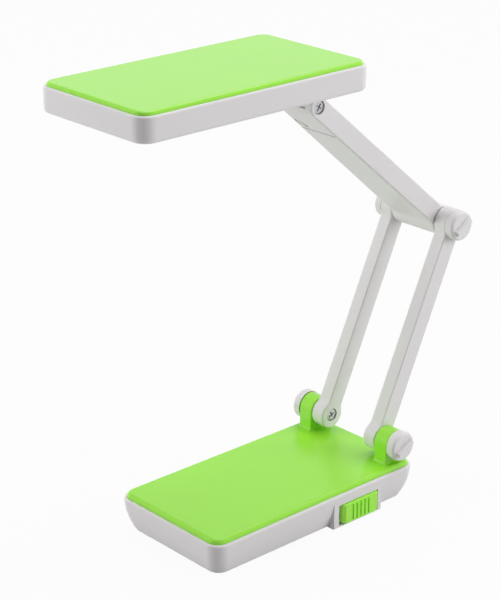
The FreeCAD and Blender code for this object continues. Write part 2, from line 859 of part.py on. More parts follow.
def arm_outline(drawing, low_radius, high_radius, half, blend):
    """A straight arm along the sketch's upright axis, with a knuckle at each end and swept necks."""
    length = S.arm_length

    def neck(radius):
        """Where a blend leaves the shaft, and where it meets the knuckle."""
        rise = root((radius + blend) * (radius + blend) - (half + blend) * (half + blend))
        share = radius / (radius + blend)
        return rise, (half + blend) * share, rise * share

    low_rise, low_x, low_y = neck(low_radius)
    high_rise, high_x, high_y = neck(high_radius)
    return drawing.path(
        (ZERO, -low_radius),
        (low_radius, ZERO, low_radius, 1),
        (low_x, low_y, low_radius, 1),
        (half, low_rise, blend, -1),
        (half, length - high_rise),
        (high_x, length - high_y, blend, -1),
        (high_radius, length, high_radius, 1),
        (ZERO, length + high_radius, high_radius, 1),
        (-high_radius, length, high_radius, 1),
        (-high_x, length - high_y, high_radius, 1),
        (-half, length - high_rise, blend, -1),
        (-half, low_rise),
        (-low_x, low_y, blend, -1),
        (-low_radius, ZERO, low_radius, 1),
        (ZERO, -low_radius, low_radius, 1),
    )


def arm_low_face(sign):
    """The lesser X of an arm's two side faces."""
    return S.arm_inner_face if sign > 0 else -ARM_OUTER_FACE


def lower_arm(side, sign):
    """A moulded arm with a wire channel along its back, and a sunk seat for the hinge screw."""
    body = new_body(f"{side}_lower_arm", PIVOT, -S.lower_lean_angle)
    low = arm_low_face(sign)
    half = S.arm_thickness / 2
    outline = Drawing(body, "YZ", low)
    bar = arm_outline(outline, S.pivot_knuckle, S.elbow_knuckle, half, S.knuckle_blend).pad(S.arm_width)
    low_test = level_edge("x", low)
    high_test = level_edge("x", low + S.arm_width)
    fillet(body, bar, S.arm_round, lambda edge: low_test(edge) or high_test(edge))
    bores = Drawing(body, "YZ", low - S.overrun)
    bores.circle(ZERO, ZERO, S.pivot_pin_radius + S.running_fit)
    bores.circle(ZERO, S.arm_length, S.pivot_pin_radius + S.running_fit)
    bores.pocket(S.arm_width + S.overrun + S.overrun)
    depth = S.screw_head_depth + S.screw_sink
    inner = S.arm_inner_face if sign > 0 else -S.arm_inner_face - depth
    seat = Drawing(body, "YZ", inner)
    seat.circle(ZERO, ZERO, S.screw_head_radius + S.screw_head_play).pocket(depth)
    middle = low + S.arm_width / 2
    channel = Drawing(body, "XZ", -half)
    channel.box(
        middle - S.channel_width / 2, middle + S.channel_width / 2,
        S.channel_end, S.arm_length - S.channel_end,
    ).pocket(S.channel_depth)
    ledge = Drawing(body, "XZ", -half)
    wide = S.channel_width / 2 + S.strip_ledge
    ledge.box(
        middle - wide, middle + wide,
        S.channel_end - S.strip_ledge, S.arm_length - S.channel_end + S.strip_ledge,
    ).pocket(S.strip_thickness)
    return body


def arm_cover(side, sign):
    """The strip that closes an arm's wire channel."""
    body = new_body(f"{side}_arm_cover", PIVOT, -S.lower_lean_angle)
    middle = arm_low_face(sign) + S.arm_width / 2
    wide = S.channel_width / 2 + S.strip_ledge - S.shell_gap
    reach = S.channel_end - S.strip_ledge + S.shell_gap
    strip = Drawing(body, "XZ", -S.arm_thickness / 2)
    strip.box(middle - wide, middle + wide, reach, S.arm_length - reach).pad(S.strip_thickness)
    return body


def lower_arm_lead():
    """The supply lead inside the right arm's channel."""
    body = new_body("lower_arm_lead", PIVOT, -S.lower_lean_angle)
    floor = S.arm_thickness / 2 - S.channel_depth
    run = Drawing(body, "XY", S.channel_end + S.shell_gap)
    run.circle(S.arm_inner_face + S.arm_width / 2, floor + S.lead_radius, S.lead_radius)
    run.pad(S.arm_length - S.channel_end - S.channel_end - S.shell_gap - S.shell_gap)
    return body


def hinge_cap(label, sign, face, place):
    """A round cap with a soft outer edge, a finger ridge across it and a blind bore behind."""
    body = new_body(label, place, -S.lower_lean_angle)
    outer = face + S.cap_thickness
    radius = S.cap_radius
    soft = S.cap_round
    Drawing(body, "XY").path(
        (face * sign, ZERO),
        (face * sign, radius),
        ((outer - soft) * sign, radius),
        (outer * sign, radius - soft, soft, -sign),
        (outer * sign, ZERO),
        (face * sign, ZERO),
    ).turn("X")
    ridge = Drawing(body, "YZ", outer * sign)
    ridge_outline(ridge)
    bar = ridge.pad(S.ridge_height)
    bar.Reversed = sign < 0
    bind(bar, "TaperAngle", -S.ridge_taper_angle)
    bore = Drawing(body, "YZ", face if sign > 0 else -face - S.cap_bore_depth)
    bore.circle(ZERO, ZERO, S.pivot_pin_radius + S.running_fit).pocket(S.cap_bore_depth)
    return body


def ridge_outline(drawing):
    """A straight bar across the middle, turned from the arm's line towards the back."""
    along = (sine(S.ridge_turn_angle), cosine(S.ridge_turn_angle))
    across = (cosine(S.ridge_turn_angle), -sine(S.ridge_turn_angle))
    reach = S.ridge_length / 2
    half = S.ridge_width / 2

    def point(end, side):
        return tuple(along[k] * reach * end + across[k] * half * side for k in (0, 1))

    return drawing.path(point(-1, 1), point(1, 1), point(1, -1), point(-1, -1), point(-1, 1))


def hinge_screws():
    """The two pivots: a head sunk in each arm and a shank through the lug into the cap."""
    body = new_body("hinge_screws", PIVOT, -S.lower_lean_angle)
    seat = S.arm_inner_face + S.screw_sink + S.screw_head_depth
    tip = LUG_OUTER_FACE + S.moving_gap + S.cap_bore_depth
    for sign in (-1, 1):
        head = Drawing(body, "YZ", seat - S.screw_head_depth if sign > 0 else -seat)
        head.circle(ZERO, ZERO, S.screw_head_radius).pad(S.screw_head_depth)
        shank = Drawing(body, "YZ", seat if sign > 0 else -tip)
        shank.circle(ZERO, ZERO, S.pivot_pin_radius).pad(tip - seat)
    return body


def washer_pair(label, face, radius, hole, place, lean=None):
    """Two thin washers, mirrored across the middle, each lying against a face."""
    body = new_body(label, place, lean)
    for low in (face, -face - S.washer_thickness):
        ring = Drawing(body, "YZ", low)
        ring.circle(ZERO, ZERO, radius)
        ring.circle(ZERO, ZERO, hole)
        ring.pad(S.washer_thickness)
    return body


def elbow_bolt():
    body = new_body("elbow_bolt", ELBOW, -S.lower_lean_angle)
    tip = ARM_OUTER_FACE + S.cap_bore_depth
    Drawing(body, "YZ", -tip).circle(ZERO, ZERO, S.pivot_pin_radius).pad(tip + tip)
    return body


def upper_half(along):
    """Half the upper arm's width at a distance from the elbow."""
    taper = (S.upper_head_half - UPPER_ELBOW_HALF) / (S.arm_length - S.elbow_knuckle)
    return UPPER_ELBOW_HALF + taper * (along - S.elbow_knuckle)


def tapered_box(drawing, start, end, inset):
    """A stretch of the upper arm's plan, drawn in from its sides."""
    near = upper_half(start) - inset
    far = upper_half(end) - inset
    return drawing.path((-near, start), (near, start), (far, end), (-far, end), (-near, start))


def upper_arm():
    """A broad tapered arm: barrel at the elbow, floored fork at the head, and a channel under it."""
    body = new_body("upper_arm", ELBOW, S.upper_lean_angle)
    half = S.upper_thickness / 2
    wide = UPPER_ELBOW_HALF
    side = Drawing(body, "YZ", -wide)
    side.path(*upper_outline()).pad(wide + wide)
    end = S.arm_length + half + S.overrun
    for sign in (-1, 1):
        drawing = Drawing(body, "XZ", -S.elbow_knuckle - S.overrun)
        start = S.elbow_knuckle
        out = wide + S.overrun
        trim = drawing.path(
            (upper_half(start) * sign, start),
            (out * sign, start),
            (out * sign, end),
            (upper_half(end) * sign, end),
            (upper_half(start) * sign, start),
        ).pocket(S.elbow_knuckle + S.overrun + S.elbow_knuckle + S.overrun)
    fillet(body, trim, S.upper_round, side_rim(trim))
    inner = S.panel_rim + S.upper_wall
    hollow = Drawing(body, "XZ", S.upper_wall - half)
    tapered_box(hollow, S.panel_start + inner, PANEL_END - inner, inner)
    hollow.pocket(S.upper_thickness - S.upper_wall + S.overrun)
    seat = Drawing(body, "XZ", half - S.panel_thickness)
    tapered_box(seat, S.panel_start, PANEL_END, S.panel_rim).pocket(S.panel_thickness + S.overrun)
    fork = Drawing(body, "XZ", -half - S.overrun)
    gap = S.head_lug_half + S.moving_gap
    fork_floor = S.head_lug_radius + S.moving_gap
    fork.box(-gap, gap, S.arm_length - S.fork_depth, end).pocket(S.overrun + half + fork_floor)
    oval = Drawing(body, "XZ", half - S.oval_depth)
    oval_outline(oval, ZERO)
    oval_outline(oval, S.oval_groove).pocket(S.oval_depth + S.overrun)
    bore = Drawing(body, "YZ", -wide - S.overrun)
    bore.circle(ZERO, ZERO, S.pivot_pin_radius + S.running_fit).pocket(wide + wide + S.overrun + S.overrun)
    holes = Drawing(body, "YZ", -wide - S.overrun)
    holes.circle(ZERO, S.arm_length, S.head_pin_radius + S.running_fit)
    holes.pocket(wide + wide + S.overrun + S.overrun)
    seat_face = head_screw_seat()
    for low in (seat_face, -wide - S.overrun):
        sink = Drawing(body, "YZ", low)
        sink.circle(ZERO, S.arm_length, S.screw_head_radius + S.screw_head_play)
        sink.pocket(wide + S.overrun - seat_face)
    return body


def head_screw_seat():
    """Where the heads of the lamp head's hinge screws bear, measured from the middle."""
    return S.upper_head_half - S.screw_sink - S.screw_head_depth


def upper_outline():
    """The upper arm's side view: a barrel about the elbow, a straight shaft and a round nose."""
    half = S.upper_thickness / 2
    blend = S.knuckle_blend
    radius = S.elbow_knuckle
    rise = root((radius + blend) * (radius + blend) - (half + blend) * (half + blend))
    share = radius / (radius + blend)
    neck_x = (half + blend) * share
    neck_y = rise * share
    return (
        (ZERO, -radius),
        (radius, ZERO, radius, 1),
        (neck_x, neck_y, radius, 1),
        (half, rise, blend, -1),
        (half, S.arm_length),
        (ZERO, S.arm_length + half, half, 1),
        (-half, S.arm_length, half, 1),
        (-half, rise),
        (-neck_x, neck_y, blend, -1),
        (-radius, ZERO, radius, 1),
        (ZERO, -radius, radius, 1),
    )


def oval_outline(drawing, inset):
    """A slanted oval beside the middle of the fork's root, drawn in by the inset."""
    radius = S.oval_width / 2 - inset
    reach = S.oval_length / 2 - S.oval_width / 2
    along = (-cosine(S.oval_turn_angle), sine(S.oval_turn_angle))
    across = (sine(S.oval_turn_angle), cosine(S.oval_turn_angle))
    middle = (-S.oval_side, S.arm_length - S.oval_margin)

    def point(end, out, side):
        return tuple(
            middle[k] + along[k] * (reach * end + radius * out) + across[k] * radius * side for k in (0, 1)
        )

    return drawing.path(
        point(-1, 0, 1),
        (*point(-1, -1, 0), radius, -1),
        (*point(-1, 0, -1), radius, -1),
        point(1, 0, -1),
        (*point(1, 1, 0), radius, -1),
        (*point(1, 0, 1), radius, -1),
        point(-1, 0, 1),
    )


def upper_arm_cover():
    """The plate that closes the channel under the upper arm."""
    body = new_body("upper_arm_cover", ELBOW, S.upper_lean_angle)
    half = S.upper_thickness / 2
    plate = Drawing(body, "XZ", half - S.panel_thickness)
    gap = S.shell_gap
    tapered_box(plate, S.panel_start + gap, PANEL_END - S.panel_seam, S.panel_rim + gap)
    plate.pad(S.panel_thickness)
    return body


def upper_arm_lead():
    """The supply lead inside the upper arm's channel, lying on the channel's floor."""
    body = new_body("upper_arm_lead", ELBOW, S.upper_lean_angle)
    inner = S.panel_rim + S.upper_wall + S.shell_gap
    start = S.panel_start + inner
    run = Drawing(body, "XY", start)
    floor = S.upper_thickness / 2 - S.upper_wall
    run.circle(ZERO, floor - S.lead_radius, S.lead_radius).pad(PANEL_END - inner - start)
    return body


# Lamp head


def head_outline(drawing, inset, radius):
    """The head's outline, drawn in by the inset."""
    half = S.head_width / 2
    return drawing.rounded_box(inset - half, half - inset, HEAD_FRONT + inset, HEAD_REAR - inset, radius)


def head_corners():
    return [(x, HEAD_MIDDLE + y) for x, y in corners(S.head_post_side, S.head_post_along)]


def window_box(drawing, grow, radius):
    """The light window's outline, grown on all sides."""
    half = S.window_width / 2 + grow
    reach = S.window_length / 2 + grow
    return drawing.rounded_box(-half, half, WINDOW_MIDDLE - reach, WINDOW_MIDDLE + reach, radius)


def head_housing():
    body = new_body("head_housing", HEAD)
    tray = head_outline(Drawing(body, "XY", S.head_drop), ZERO, S.head_corner).pad(S.head_depth)
    tray = fillet(body, tray, S.head_edge_round, level_edge("z", S.head_drop))
    fillet(body, tray, S.rim_round, level_edge("z", HEAD_RIM))
    hollow = Drawing(body, "XY", HEAD_INSIDE)
    head_outline(hollow, S.head_wall, S.head_corner - S.head_wall).pocket(S.head_depth)
    seat = Drawing(body, "XY", HEAD_RIM - S.rim_depth)
    head_outline(seat, S.rim_width, S.head_corner - S.rim_width).pocket(S.rim_depth + S.overrun)
    window = Drawing(body, "XY", S.head_drop - S.overrun)
    window_box(window, ZERO, S.window_corner).pocket(S.head_floor + S.overrun + S.overrun)
    posts = Drawing(body, "XY", HEAD_INSIDE)
    seats = Drawing(body, "XY", S.head_drop - S.overrun)
    holes = Drawing(body, "XY", S.head_drop)
    for x, y in head_corners():
        posts.circle(x, y, S.head_post_radius)
        seats.circle(x, y, S.head_screw_head + S.shell_gap)
        holes.circle(x, y, S.head_screw_radius + S.shell_gap)
    posts.pad(S.head_post_height)
    seats.pocket(S.head_screw_seat + S.overrun)
    holes.pocket(S.head_floor + S.head_post_height + S.overrun)
    half = S.head_lug_half
    lug = Drawing(body, "YZ", -half)
    head_lug_outline(lug).pad(half + half)
    for low in (half - S.head_pin_depth, -half - S.overrun):
        bore = Drawing(body, "YZ", low)
        bore.circle(ZERO, ZERO, S.head_pin_radius + S.running_fit).pocket(S.head_pin_depth + S.overrun)
    return body


def head_lug_outline(drawing):
    """The knuckle that hangs under the head, flared where it joins the tray."""
    radius = S.head_lug_radius
    foot = S.head_lug_foot
    high = S.head_drop
    into = S.head_drop + S.head_floor / 2
    return drawing.path(
        (ZERO, -radius),
        (radius, ZERO, radius, 1),
        (radius, high - foot),
        (radius + foot, high, foot, -1),
        (radius + foot, into),
        (-radius - foot, into),
        (-radius - foot, high),
        (-radius, high - foot, foot, -1),
        (-radius, ZERO),
        (ZERO, -radius, radius, 1),
    )


def head_panel():
    body = new_body("head_panel", HEAD)
    low = HEAD_RIM - S.rim_depth
    inset = S.rim_width + S.shell_gap
    corner = S.head_corner - inset
    plate = head_outline(Drawing(body, "XY", low), inset, corner).pad(HEAD_PANEL_TOP - low)
    fillet(body, plate, S.head_panel_round, level_edge("z", HEAD_PANEL_TOP))
    hollow = Drawing(body, "XY", low)
    head_outline(hollow, inset + S.cover_wall, corner - S.cover_wall).pocket(HEAD_PANEL_UNDER - low)
    post_low = HEAD_INSIDE + S.head_post_height + S.shell_gap
    posts = Drawing(body, "XY", post_low)
    pilots = Drawing(body, "XY", post_low)
    for x, y in head_corners():
        posts.circle(x, y, S.head_post_radius)
        pilots.circle(x, y, S.head_screw_radius + S.running_fit)
    posts.pad(HEAD_PANEL_UNDER - post_low)
    tip = S.head_drop + S.head_screw_seat + S.head_screw_length
    pilots.pocket(tip - post_low + S.running_fit)
    ribs = Drawing(body, "XY", LED_BOARD_TOP + S.shell_gap)
    half = S.window_width / 2 - S.led_board_inset
    for place in (WINDOW_MIDDLE - S.press_rib_along, WINDOW_MIDDLE + S.press_rib_along):
        ribs.box(-half, half, place - S.press_rib_width / 2, place + S.press_rib_width / 2)
    ribs.pad(HEAD_PANEL_UNDER - LED_BOARD_TOP)
    return body


def lens():
    """A clear plate that lies on the tray's floor and fills the window from inside."""
    body = new_body("lens", HEAD)
    flange = Drawing(body, "XY", HEAD_INSIDE)
    window_box(flange, S.lens_flange, S.window_corner + S.lens_flange).pad(S.lens_flange_thickness)
    plug = Drawing(body, "XY", S.head_drop + S.lens_setback)
    window_box(plug, -S.shell_gap, S.window_corner - S.shell_gap).pad(S.head_floor - S.lens_setback)
    return body


def led_places():
    places = []
    for row in range(LED_ROWS):
        for column in range(LED_COLUMNS):
            x = S.led_pitch_across * (row - (LED_ROWS - 1) / 2)
            y = WINDOW_MIDDLE + S.led_pitch_along * (column - (LED_COLUMNS - 1) / 2)
            places.append((x, y))
    return places


def reflector():
    """A pan with one hole per diode, whose skirt stands on the lens."""
    body = new_body("reflector", HEAD)
    pan = Drawing(body, "XY", LENS_TOP)
    window_box(pan, ZERO, S.window_corner).pad(S.reflector_height)
    hollow = Drawing(body, "XY", LENS_TOP)
    window_box(hollow, -S.reflector_sheet, S.window_corner - S.reflector_sheet)
    hollow.pocket(S.reflector_height - S.reflector_sheet)
    holes = Drawing(body, "XY", REFLECTOR_TOP - S.reflector_sheet - S.overrun)
    for x, y in led_places():
        holes.circle(x, y, S.led_radius + S.led_play)
    holes.pocket(S.reflector_sheet + S.overrun + S.overrun)
    return body


def led_board():
    body = new_body("led_board", HEAD)
    plate = Drawing(body, "XY", REFLECTOR_TOP)
    window_box(plate, -S.led_board_inset, S.window_corner).pad(S.led_board_thickness)
    return body


def leds():
    """Blunt-nosed diodes that point down through the reflector."""
    body = new_body("leds", HEAD)
    tip = REFLECTOR_TOP - S.led_length
    bulbs = Drawing(body, "XY", tip)
    for x, y in led_places():
        bulbs.circle(x, y, S.led_radius)
    soften(body, "Chamfer", "Size", bulbs.pad(S.led_length), S.led_bevel, level_edge("z", tip))
    return body


def head_hinge_screws():
    """The two pivots of the lamp head, each through a fork cheek into the lug."""
    body = new_body("head_hinge_screws", HEAD)
    seat = head_screw_seat()
    tip = S.head_lug_half - S.head_pin_depth + S.running_fit
    for sign in (-1, 1):
        head = Drawing(body, "YZ", seat if sign > 0 else -seat - S.screw_head_depth)
        head.circle(ZERO, ZERO, S.screw_head_radius).pad(S.screw_head_depth)
        shank = Drawing(body, "YZ", tip if sign > 0 else -seat)
        shank.circle(ZERO, ZERO, S.head_pin_radius).pad(seat - tip)
    return body


def build():
    """Make every piece, in the order that the lamp is put together."""
    pieces = [
        base_tub(),
        base_cover(),
        foot_pads(),
        screw_group(
            "base_screws", corners(POST_SIDE, POST_ALONG), S.base_screw_radius,
            (S.base_screw_head, S.base_screw_head_depth), S.post_seat, S.base_screw_length,
        ),
        battery(),
        charger_board(),
        screw_group(
            "board_screws", board_corners(), S.board_screw_radius,
            (S.board_screw_head, S.board_screw_head_depth), BOARD_TOP, S.board_screw_length, down=True,
        ),
        charge_socket(),
        socket_pin(),
        slide_switch(),
        switch_lever(),
        switch_slider(),
        lower_arm_lead(),
        hinge_screws(),
        elbow_bolt(),
    ]
    pin_hole = S.pivot_pin_radius + S.running_fit
    washers = S.washer_radius
    pieces.append(washer_pair("hinge_washers", ARM_OUTER_FACE, washers, pin_hole, PIVOT, -S.lower_lean_angle))
    elbow_face = S.arm_inner_face - S.washer_thickness
    pieces.append(washer_pair("elbow_washers", elbow_face, washers, pin_hole, ELBOW, -S.lower_lean_angle))
    for side, sign in SIDES:
        pieces.append(lower_arm(side, sign))
        pieces.append(arm_cover(side, sign))
        pieces.append(hinge_cap(f"{side}_hinge_cap", sign, LUG_OUTER_FACE + S.moving_gap, PIVOT))
        pieces.append(hinge_cap(f"{side}_elbow_cap", sign, ARM_OUTER_FACE, ELBOW))
    pieces += [upper_arm(), upper_arm_cover(), upper_arm_lead()]
    pieces += [head_housing(), head_panel(), lens(), reflector(), led_board(), leds(), head_hinge_screws()]
    pieces.append(screw_group(
        "head_screws", head_corners(), S.head_screw_radius,
        (S.head_screw_head, S.head_screw_head_depth), S.head_drop + S.head_screw_seat,
        S.head_screw_length, place=HEAD,
    ))
    head_hole = S.head_pin_radius + S.running_fit
    head_washer = S.head_lug_radius - S.moving_gap
    pieces.append(washer_pair("head_hinge_washers", S.head_lug_half, head_washer, head_hole, HEAD))
    return pieces


def check(pieces):
    """Stop if any feature failed, any cut removed nothing, or any piece is not sound."""
    for item in doc.Objects:
        if "Invalid" in item.State or "Error" in item.State:
            raise RuntimeError(f"{item.Label} failed: {item.State}")
        if item.isDerivedFrom("PartDesign::Pocket"):
            if item.Shape.Volume >= item.BaseFeature.Shape.Volume:
                raise RuntimeError(f"{item.Profile[0].Label} cuts nothing")
    for piece in pieces:
        if piece.Shape.isNull() or not piece.Shape.isValid() or not piece.Shape.Solids:
            raise RuntimeError(f"{piece.Label} is not a sound solid")


lamp = build()
doc.recompute()
check(lamp)
os.makedirs("parts", exist_ok=True)
for piece in lamp:
    piece.Shape.exportStep(f"parts/{piece.Label}.step")
    box = piece.Shape.BoundBox
    print(f"{piece.Label}: {len(piece.Shape.Solids)} solids, {piece.Shape.Volume:.0f} mm3, "
          f"X {box.XMin:.1f}..{box.XMax:.1f} Y {box.YMin:.1f}..{box.YMax:.1f} Z {box.ZMin:.1f}..{box.ZMax:.1f}")
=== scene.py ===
"""Dresses the folding desk lamp: plastics, screws, light source and a plain studio."""
import json
import math
from typing import NamedTuple

import bmesh
import bpy
from bpy.props import FloatProperty, FloatVectorProperty, IntProperty, PointerProperty
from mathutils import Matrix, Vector


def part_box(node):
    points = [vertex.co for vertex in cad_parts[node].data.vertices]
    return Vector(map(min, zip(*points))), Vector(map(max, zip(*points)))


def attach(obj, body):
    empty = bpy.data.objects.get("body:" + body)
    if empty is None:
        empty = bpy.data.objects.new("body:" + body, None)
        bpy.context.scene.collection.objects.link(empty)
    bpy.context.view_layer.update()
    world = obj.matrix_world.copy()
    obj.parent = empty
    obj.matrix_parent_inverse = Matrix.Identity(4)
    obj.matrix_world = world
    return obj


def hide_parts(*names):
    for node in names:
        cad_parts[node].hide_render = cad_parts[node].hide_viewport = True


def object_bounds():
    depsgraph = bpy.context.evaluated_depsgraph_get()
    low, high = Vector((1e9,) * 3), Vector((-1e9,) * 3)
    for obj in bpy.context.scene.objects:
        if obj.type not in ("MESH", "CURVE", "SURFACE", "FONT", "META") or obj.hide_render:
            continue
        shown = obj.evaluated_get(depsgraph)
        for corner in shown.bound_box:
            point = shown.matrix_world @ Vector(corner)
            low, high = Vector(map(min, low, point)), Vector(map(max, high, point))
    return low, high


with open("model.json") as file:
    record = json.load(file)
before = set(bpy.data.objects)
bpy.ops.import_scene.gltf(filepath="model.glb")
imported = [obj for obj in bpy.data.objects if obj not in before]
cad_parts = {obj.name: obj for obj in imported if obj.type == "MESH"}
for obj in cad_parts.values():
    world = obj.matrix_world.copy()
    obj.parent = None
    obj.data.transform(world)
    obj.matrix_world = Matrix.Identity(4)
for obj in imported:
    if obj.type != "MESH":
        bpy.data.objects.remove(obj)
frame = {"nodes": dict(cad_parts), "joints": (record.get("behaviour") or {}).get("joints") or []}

bl_info = {
    "name": "Folding desk lamp",
    "version": (1, 0, 0),
    "blender": (4, 5, 0),
    "location": "View3D > Sidebar > Lamp",
    "description": "Dresses the solids of a folding desk lamp with its finishes, screws and diodes",
    "category": "Object",
}

CAD_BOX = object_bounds()
NODES = frame["nodes"]
JOINTS = {joint["name"]: joint for joint in frame["joints"]}
HEAD_PIVOT = Vector(JOINTS["head_tilt"]["pos_m"])
ELBOW_PIVOT = Vector(JOINTS["elbow_hinge"]["pos_m"])
BASE_PIVOT = Vector(JOINTS["base_hinge"]["pos_m"])
ACROSS = Vector((1, 0, 0))


class ScrewSize(NamedTuple):
    """Measures of one kind of screw, in metres."""

    head_radius: float
    shank_radius: float
    head_depth: float


LOWER_HINGE_SCREW = ScrewSize(head_radius=0.0039, shank_radius=0.0025, head_depth=0.0022)
HEAD_HINGE_SCREW = ScrewSize(head_radius=0.0039, shank_radius=0.0020, head_depth=0.0022)
BASE_SCREW = ScrewSize(head_radius=0.0028, shank_radius=0.00145, head_depth=0.0020)
HEAD_SCREW = ScrewSize(head_radius=0.0024, shank_radius=0.00125, head_depth=0.0018)

# Turns of the cross recesses, and the angles up to which edges are shaded smooth, in degrees
HINGE_SCREW_TURNS = (24, 57)
CASE_SCREW_TURNS = (12, 71, 40, 83)
SCREW_CREASE = 35
DIODE_CREASE = 40

# Shares that shape a screw: its tip, its bevelled rim and the bottom of its recess
TIP_RADIUS = 0.86
TIP_LENGTH = 0.2
RIM_DROP = 0.8
RIM_BEND = 0.3
RECESS_END_REACH = 0.55
RECESS_END_WIDTH = 0.8

# A diode's dome: sides, angles of its rings in degrees, and the least radius of a ring
DIODE_SIDES = 20
DOME_RINGS = (8, 26, 45, 64, 90)
DOME_TIP = 0.05

# Painted groove shade under the upper arm, in metres: depth below the plate's face and reach past
# its end
GROOVE_TOP = 0.0001
GROOVE_BOTTOM = 0.0020
GROOVE_REACH = 0.0095
GROOVE_DEPTH_BLUR = 0.00008
GROOVE_REACH_BLUR = 0.0003
GROOVE_SIDE_BLUR = 0.0002
PLATE_END = 0.001

# How much painted shade the grooves take, and how dark that painted shade is beside the plastic
PAINTED_GROOVE_SHADE_SHARE = 0.85
GROOVE_SHADE = 0.16

# Studio: places and sizes in metres, and the looks of the floor
TOP_LIGHT = (-0.6, 1.4, 4.8)
LEFT_LIGHT = (-1.3, -1.25, 0.55)
RIGHT_LIGHT = (1.4, 1.1, 0.8)
TOP_LIGHT_SIZE = 4.0
SIDE_LIGHT_SIZE = 1.4
FLOOR_HALF = 6
FLOOR_GREY = (0.56, 0.56, 0.56, 1)
FLOOR_ROUGHNESS = 0.9
FLOOR_GLOW = 0.95
WHITE = (1, 1, 1, 1)
SENSOR_WIDTH_MM = 36
CLIP_START = 0.01

# Sockets of a Mix node that blends colours
MIX_FIRST = 6
MIX_SECOND = 7
MIX_RESULT = 2


def colour(name, description, default):
    return FloatVectorProperty(
        name=name, description=description, default=default, subtype="COLOR", size=3, min=0, max=1
    )


def length(name, description, default):
    return FloatProperty(name=name, description=description, default=default, unit="LENGTH", min=0)


def share(name, description, default):
    return FloatProperty(
        name=name, description=description, default=default, subtype="FACTOR", min=0, max=1
    )


def power(name, description, default):
    return FloatProperty(
        name=name, description=description, default=default, subtype="POWER", min=0
    )


class LampFinishes(bpy.types.PropertyGroup):
    """Colours and gloss of the lamp's materials."""

    green: colour("Green", "Colour of the covers", (0.330, 0.830, 0.040))
    # The button's colour is the cover green made lighter: painted light for the brightness its ribs
    # catch
    button: colour("Button", "Colour of the switch button", (0.390, 0.945, 0.050))
    white: colour("White", "Colour of the tub, arms and head tray", (0.795, 0.769, 0.780))
    steel: colour("Steel", "Colour of the screws", (0.560, 0.565, 0.570))
    rubber: colour("Rubber", "Colour of the foot pads", (0.028, 0.028, 0.030))
    board: colour("Board", "Colour of the circuit boards", (0.012, 0.105, 0.040))
    cell: colour("Battery", "Colour of the battery's case", (0.055, 0.060, 0.075))
    dark: colour("Dark plastic", "Colour of the socket, switch and leads", (0.018, 0.018, 0.019))
    clear: colour("Clear plastic", "Tint of the lens", (0.900, 0.930, 0.940))
    silver: colour("Silver", "Colour of the reflector", (0.760, 0.770, 0.780))
    resin: colour("Resin", "Colour of the diodes", (0.870, 0.760, 0.260))
    nylon: colour("Nylon", "Colour of the washers", (0.720, 0.715, 0.690))
    green_gloss: share("Green roughness", "Mean roughness of the green plastic", 0.24)
    white_gloss: share("White roughness", "Mean roughness of the white plastic", 0.40)


class LampScrews(bpy.types.PropertyGroup):
    """Shape of the head and the cross recess of a visible screw."""

    recess_reach: share(
        "Recess reach", "Half the recess's length, as a share of the head's radius", 0.62
    )
    recess_width: share(
        "Recess width", "Half the recess's width, as a share of the head's radius", 0.13
    )
    recess_depth: share(
        "Recess depth", "Depth of the recess, as a share of the head's radius", 0.42
    )
    rim: share(
        "Rim", "Width of the head's bevelled rim, as a share of the head's radius", 0.16
    )


class LampDiodes(bpy.types.PropertyGroup):
    """The grid of diodes under the head."""

    rows: IntProperty(name="Rows", description="Diodes across the head", default=4, min=1)
    columns: IntProperty(name="Columns", description="Diodes along the head", default=6, min=1)
    radius: length("Radius", "Radius of a diode", 0.0025)


class LampStudio(bpy.types.PropertyGroup):
    """Camera and lights."""

    camera_place: FloatVectorProperty(
        name="Camera", description="Where the camera stands",
        default=(0.76274, -0.70858, 0.55089), subtype="TRANSLATION", size=3,
    )
    camera_back: FloatVectorProperty(
        name="Camera axis", description="The way that the camera's back points",
        default=(0.6905, -0.6226, 0.3681), subtype="DIRECTION", size=3,
    )
    lens: FloatProperty(
        name="Lens", description="Focal length in millimetres", default=113.75, min=1
    )
    top_power: power("Top light", "Power of the light overhead", 160.0)
    left_power: power("Left light", "Power of the light on the front's side", 25.5)
    right_power: power("Right light", "Power of the light on the switch's side", 22.5)
    sky: share("Sky", "Strength of the even light from all sides", 0.16)


# Shader maths


class Wire:
    """A value in a material. Arithmetic on it adds Math nodes."""

    def __init__(self, paint, socket):
        self.paint = paint
        self.socket = socket

    def math(self, operation, *values):
        return self.paint.node("ShaderNodeMath", {"operation": operation}, *values)

    def __add__(self, other):
        return self.math("ADD", self, other)

    def __sub__(self, other):
        return self.math("SUBTRACT", self, other)

    def __rsub__(self, other):
        return self.math("SUBTRACT", other, self)

    def __mul__(self, other):
        return self.math("MULTIPLY", self, other)

    __radd__ = __add__
    __rmul__ = __mul__


class Shading:
    """Adds nodes to the tree of a material or a world."""

    def __init__(self, owner):
        owner.use_nodes = True
        self.nodes = owner.node_tree.nodes
        self.links = owner.node_tree.links
        self.nodes.clear()

    def feed(self, socket, value):
        if isinstance(value, Wire):
            self.links.new(value.socket, socket)
        else:
            socket.default_value = value

    def node(self, kind, settings, *values, numbered=None, output=0, **named):
        """Add a node: its settings first, then its sockets by order, by number or by name."""
        item = self.nodes.new(kind)
        for key, value in settings.items():
            setattr(item, key, value)
        for number, value in (*enumerate(values), *(numbered or {}).items()):
            self.feed(item.inputs[number], value)
        for key, value in named.items():
            self.feed(item.inputs[key.replace("_", " ")], value)
        return Wire(self, item.outputs[output]) if item.outputs else None

    def shown(self):
        """1 where a camera, a bright or a clear surface sees the background, and 0 elsewhere."""
        rays = [
            self.node("ShaderNodeLightPath", {}, output=f"Is {kind} Ray")
            for kind in ("Camera", "Glossy", "Transmission")
        ]
        return rays[0].math("MAXIMUM", rays[0].math("MAXIMUM", rays[0], rays[1]), rays[2])


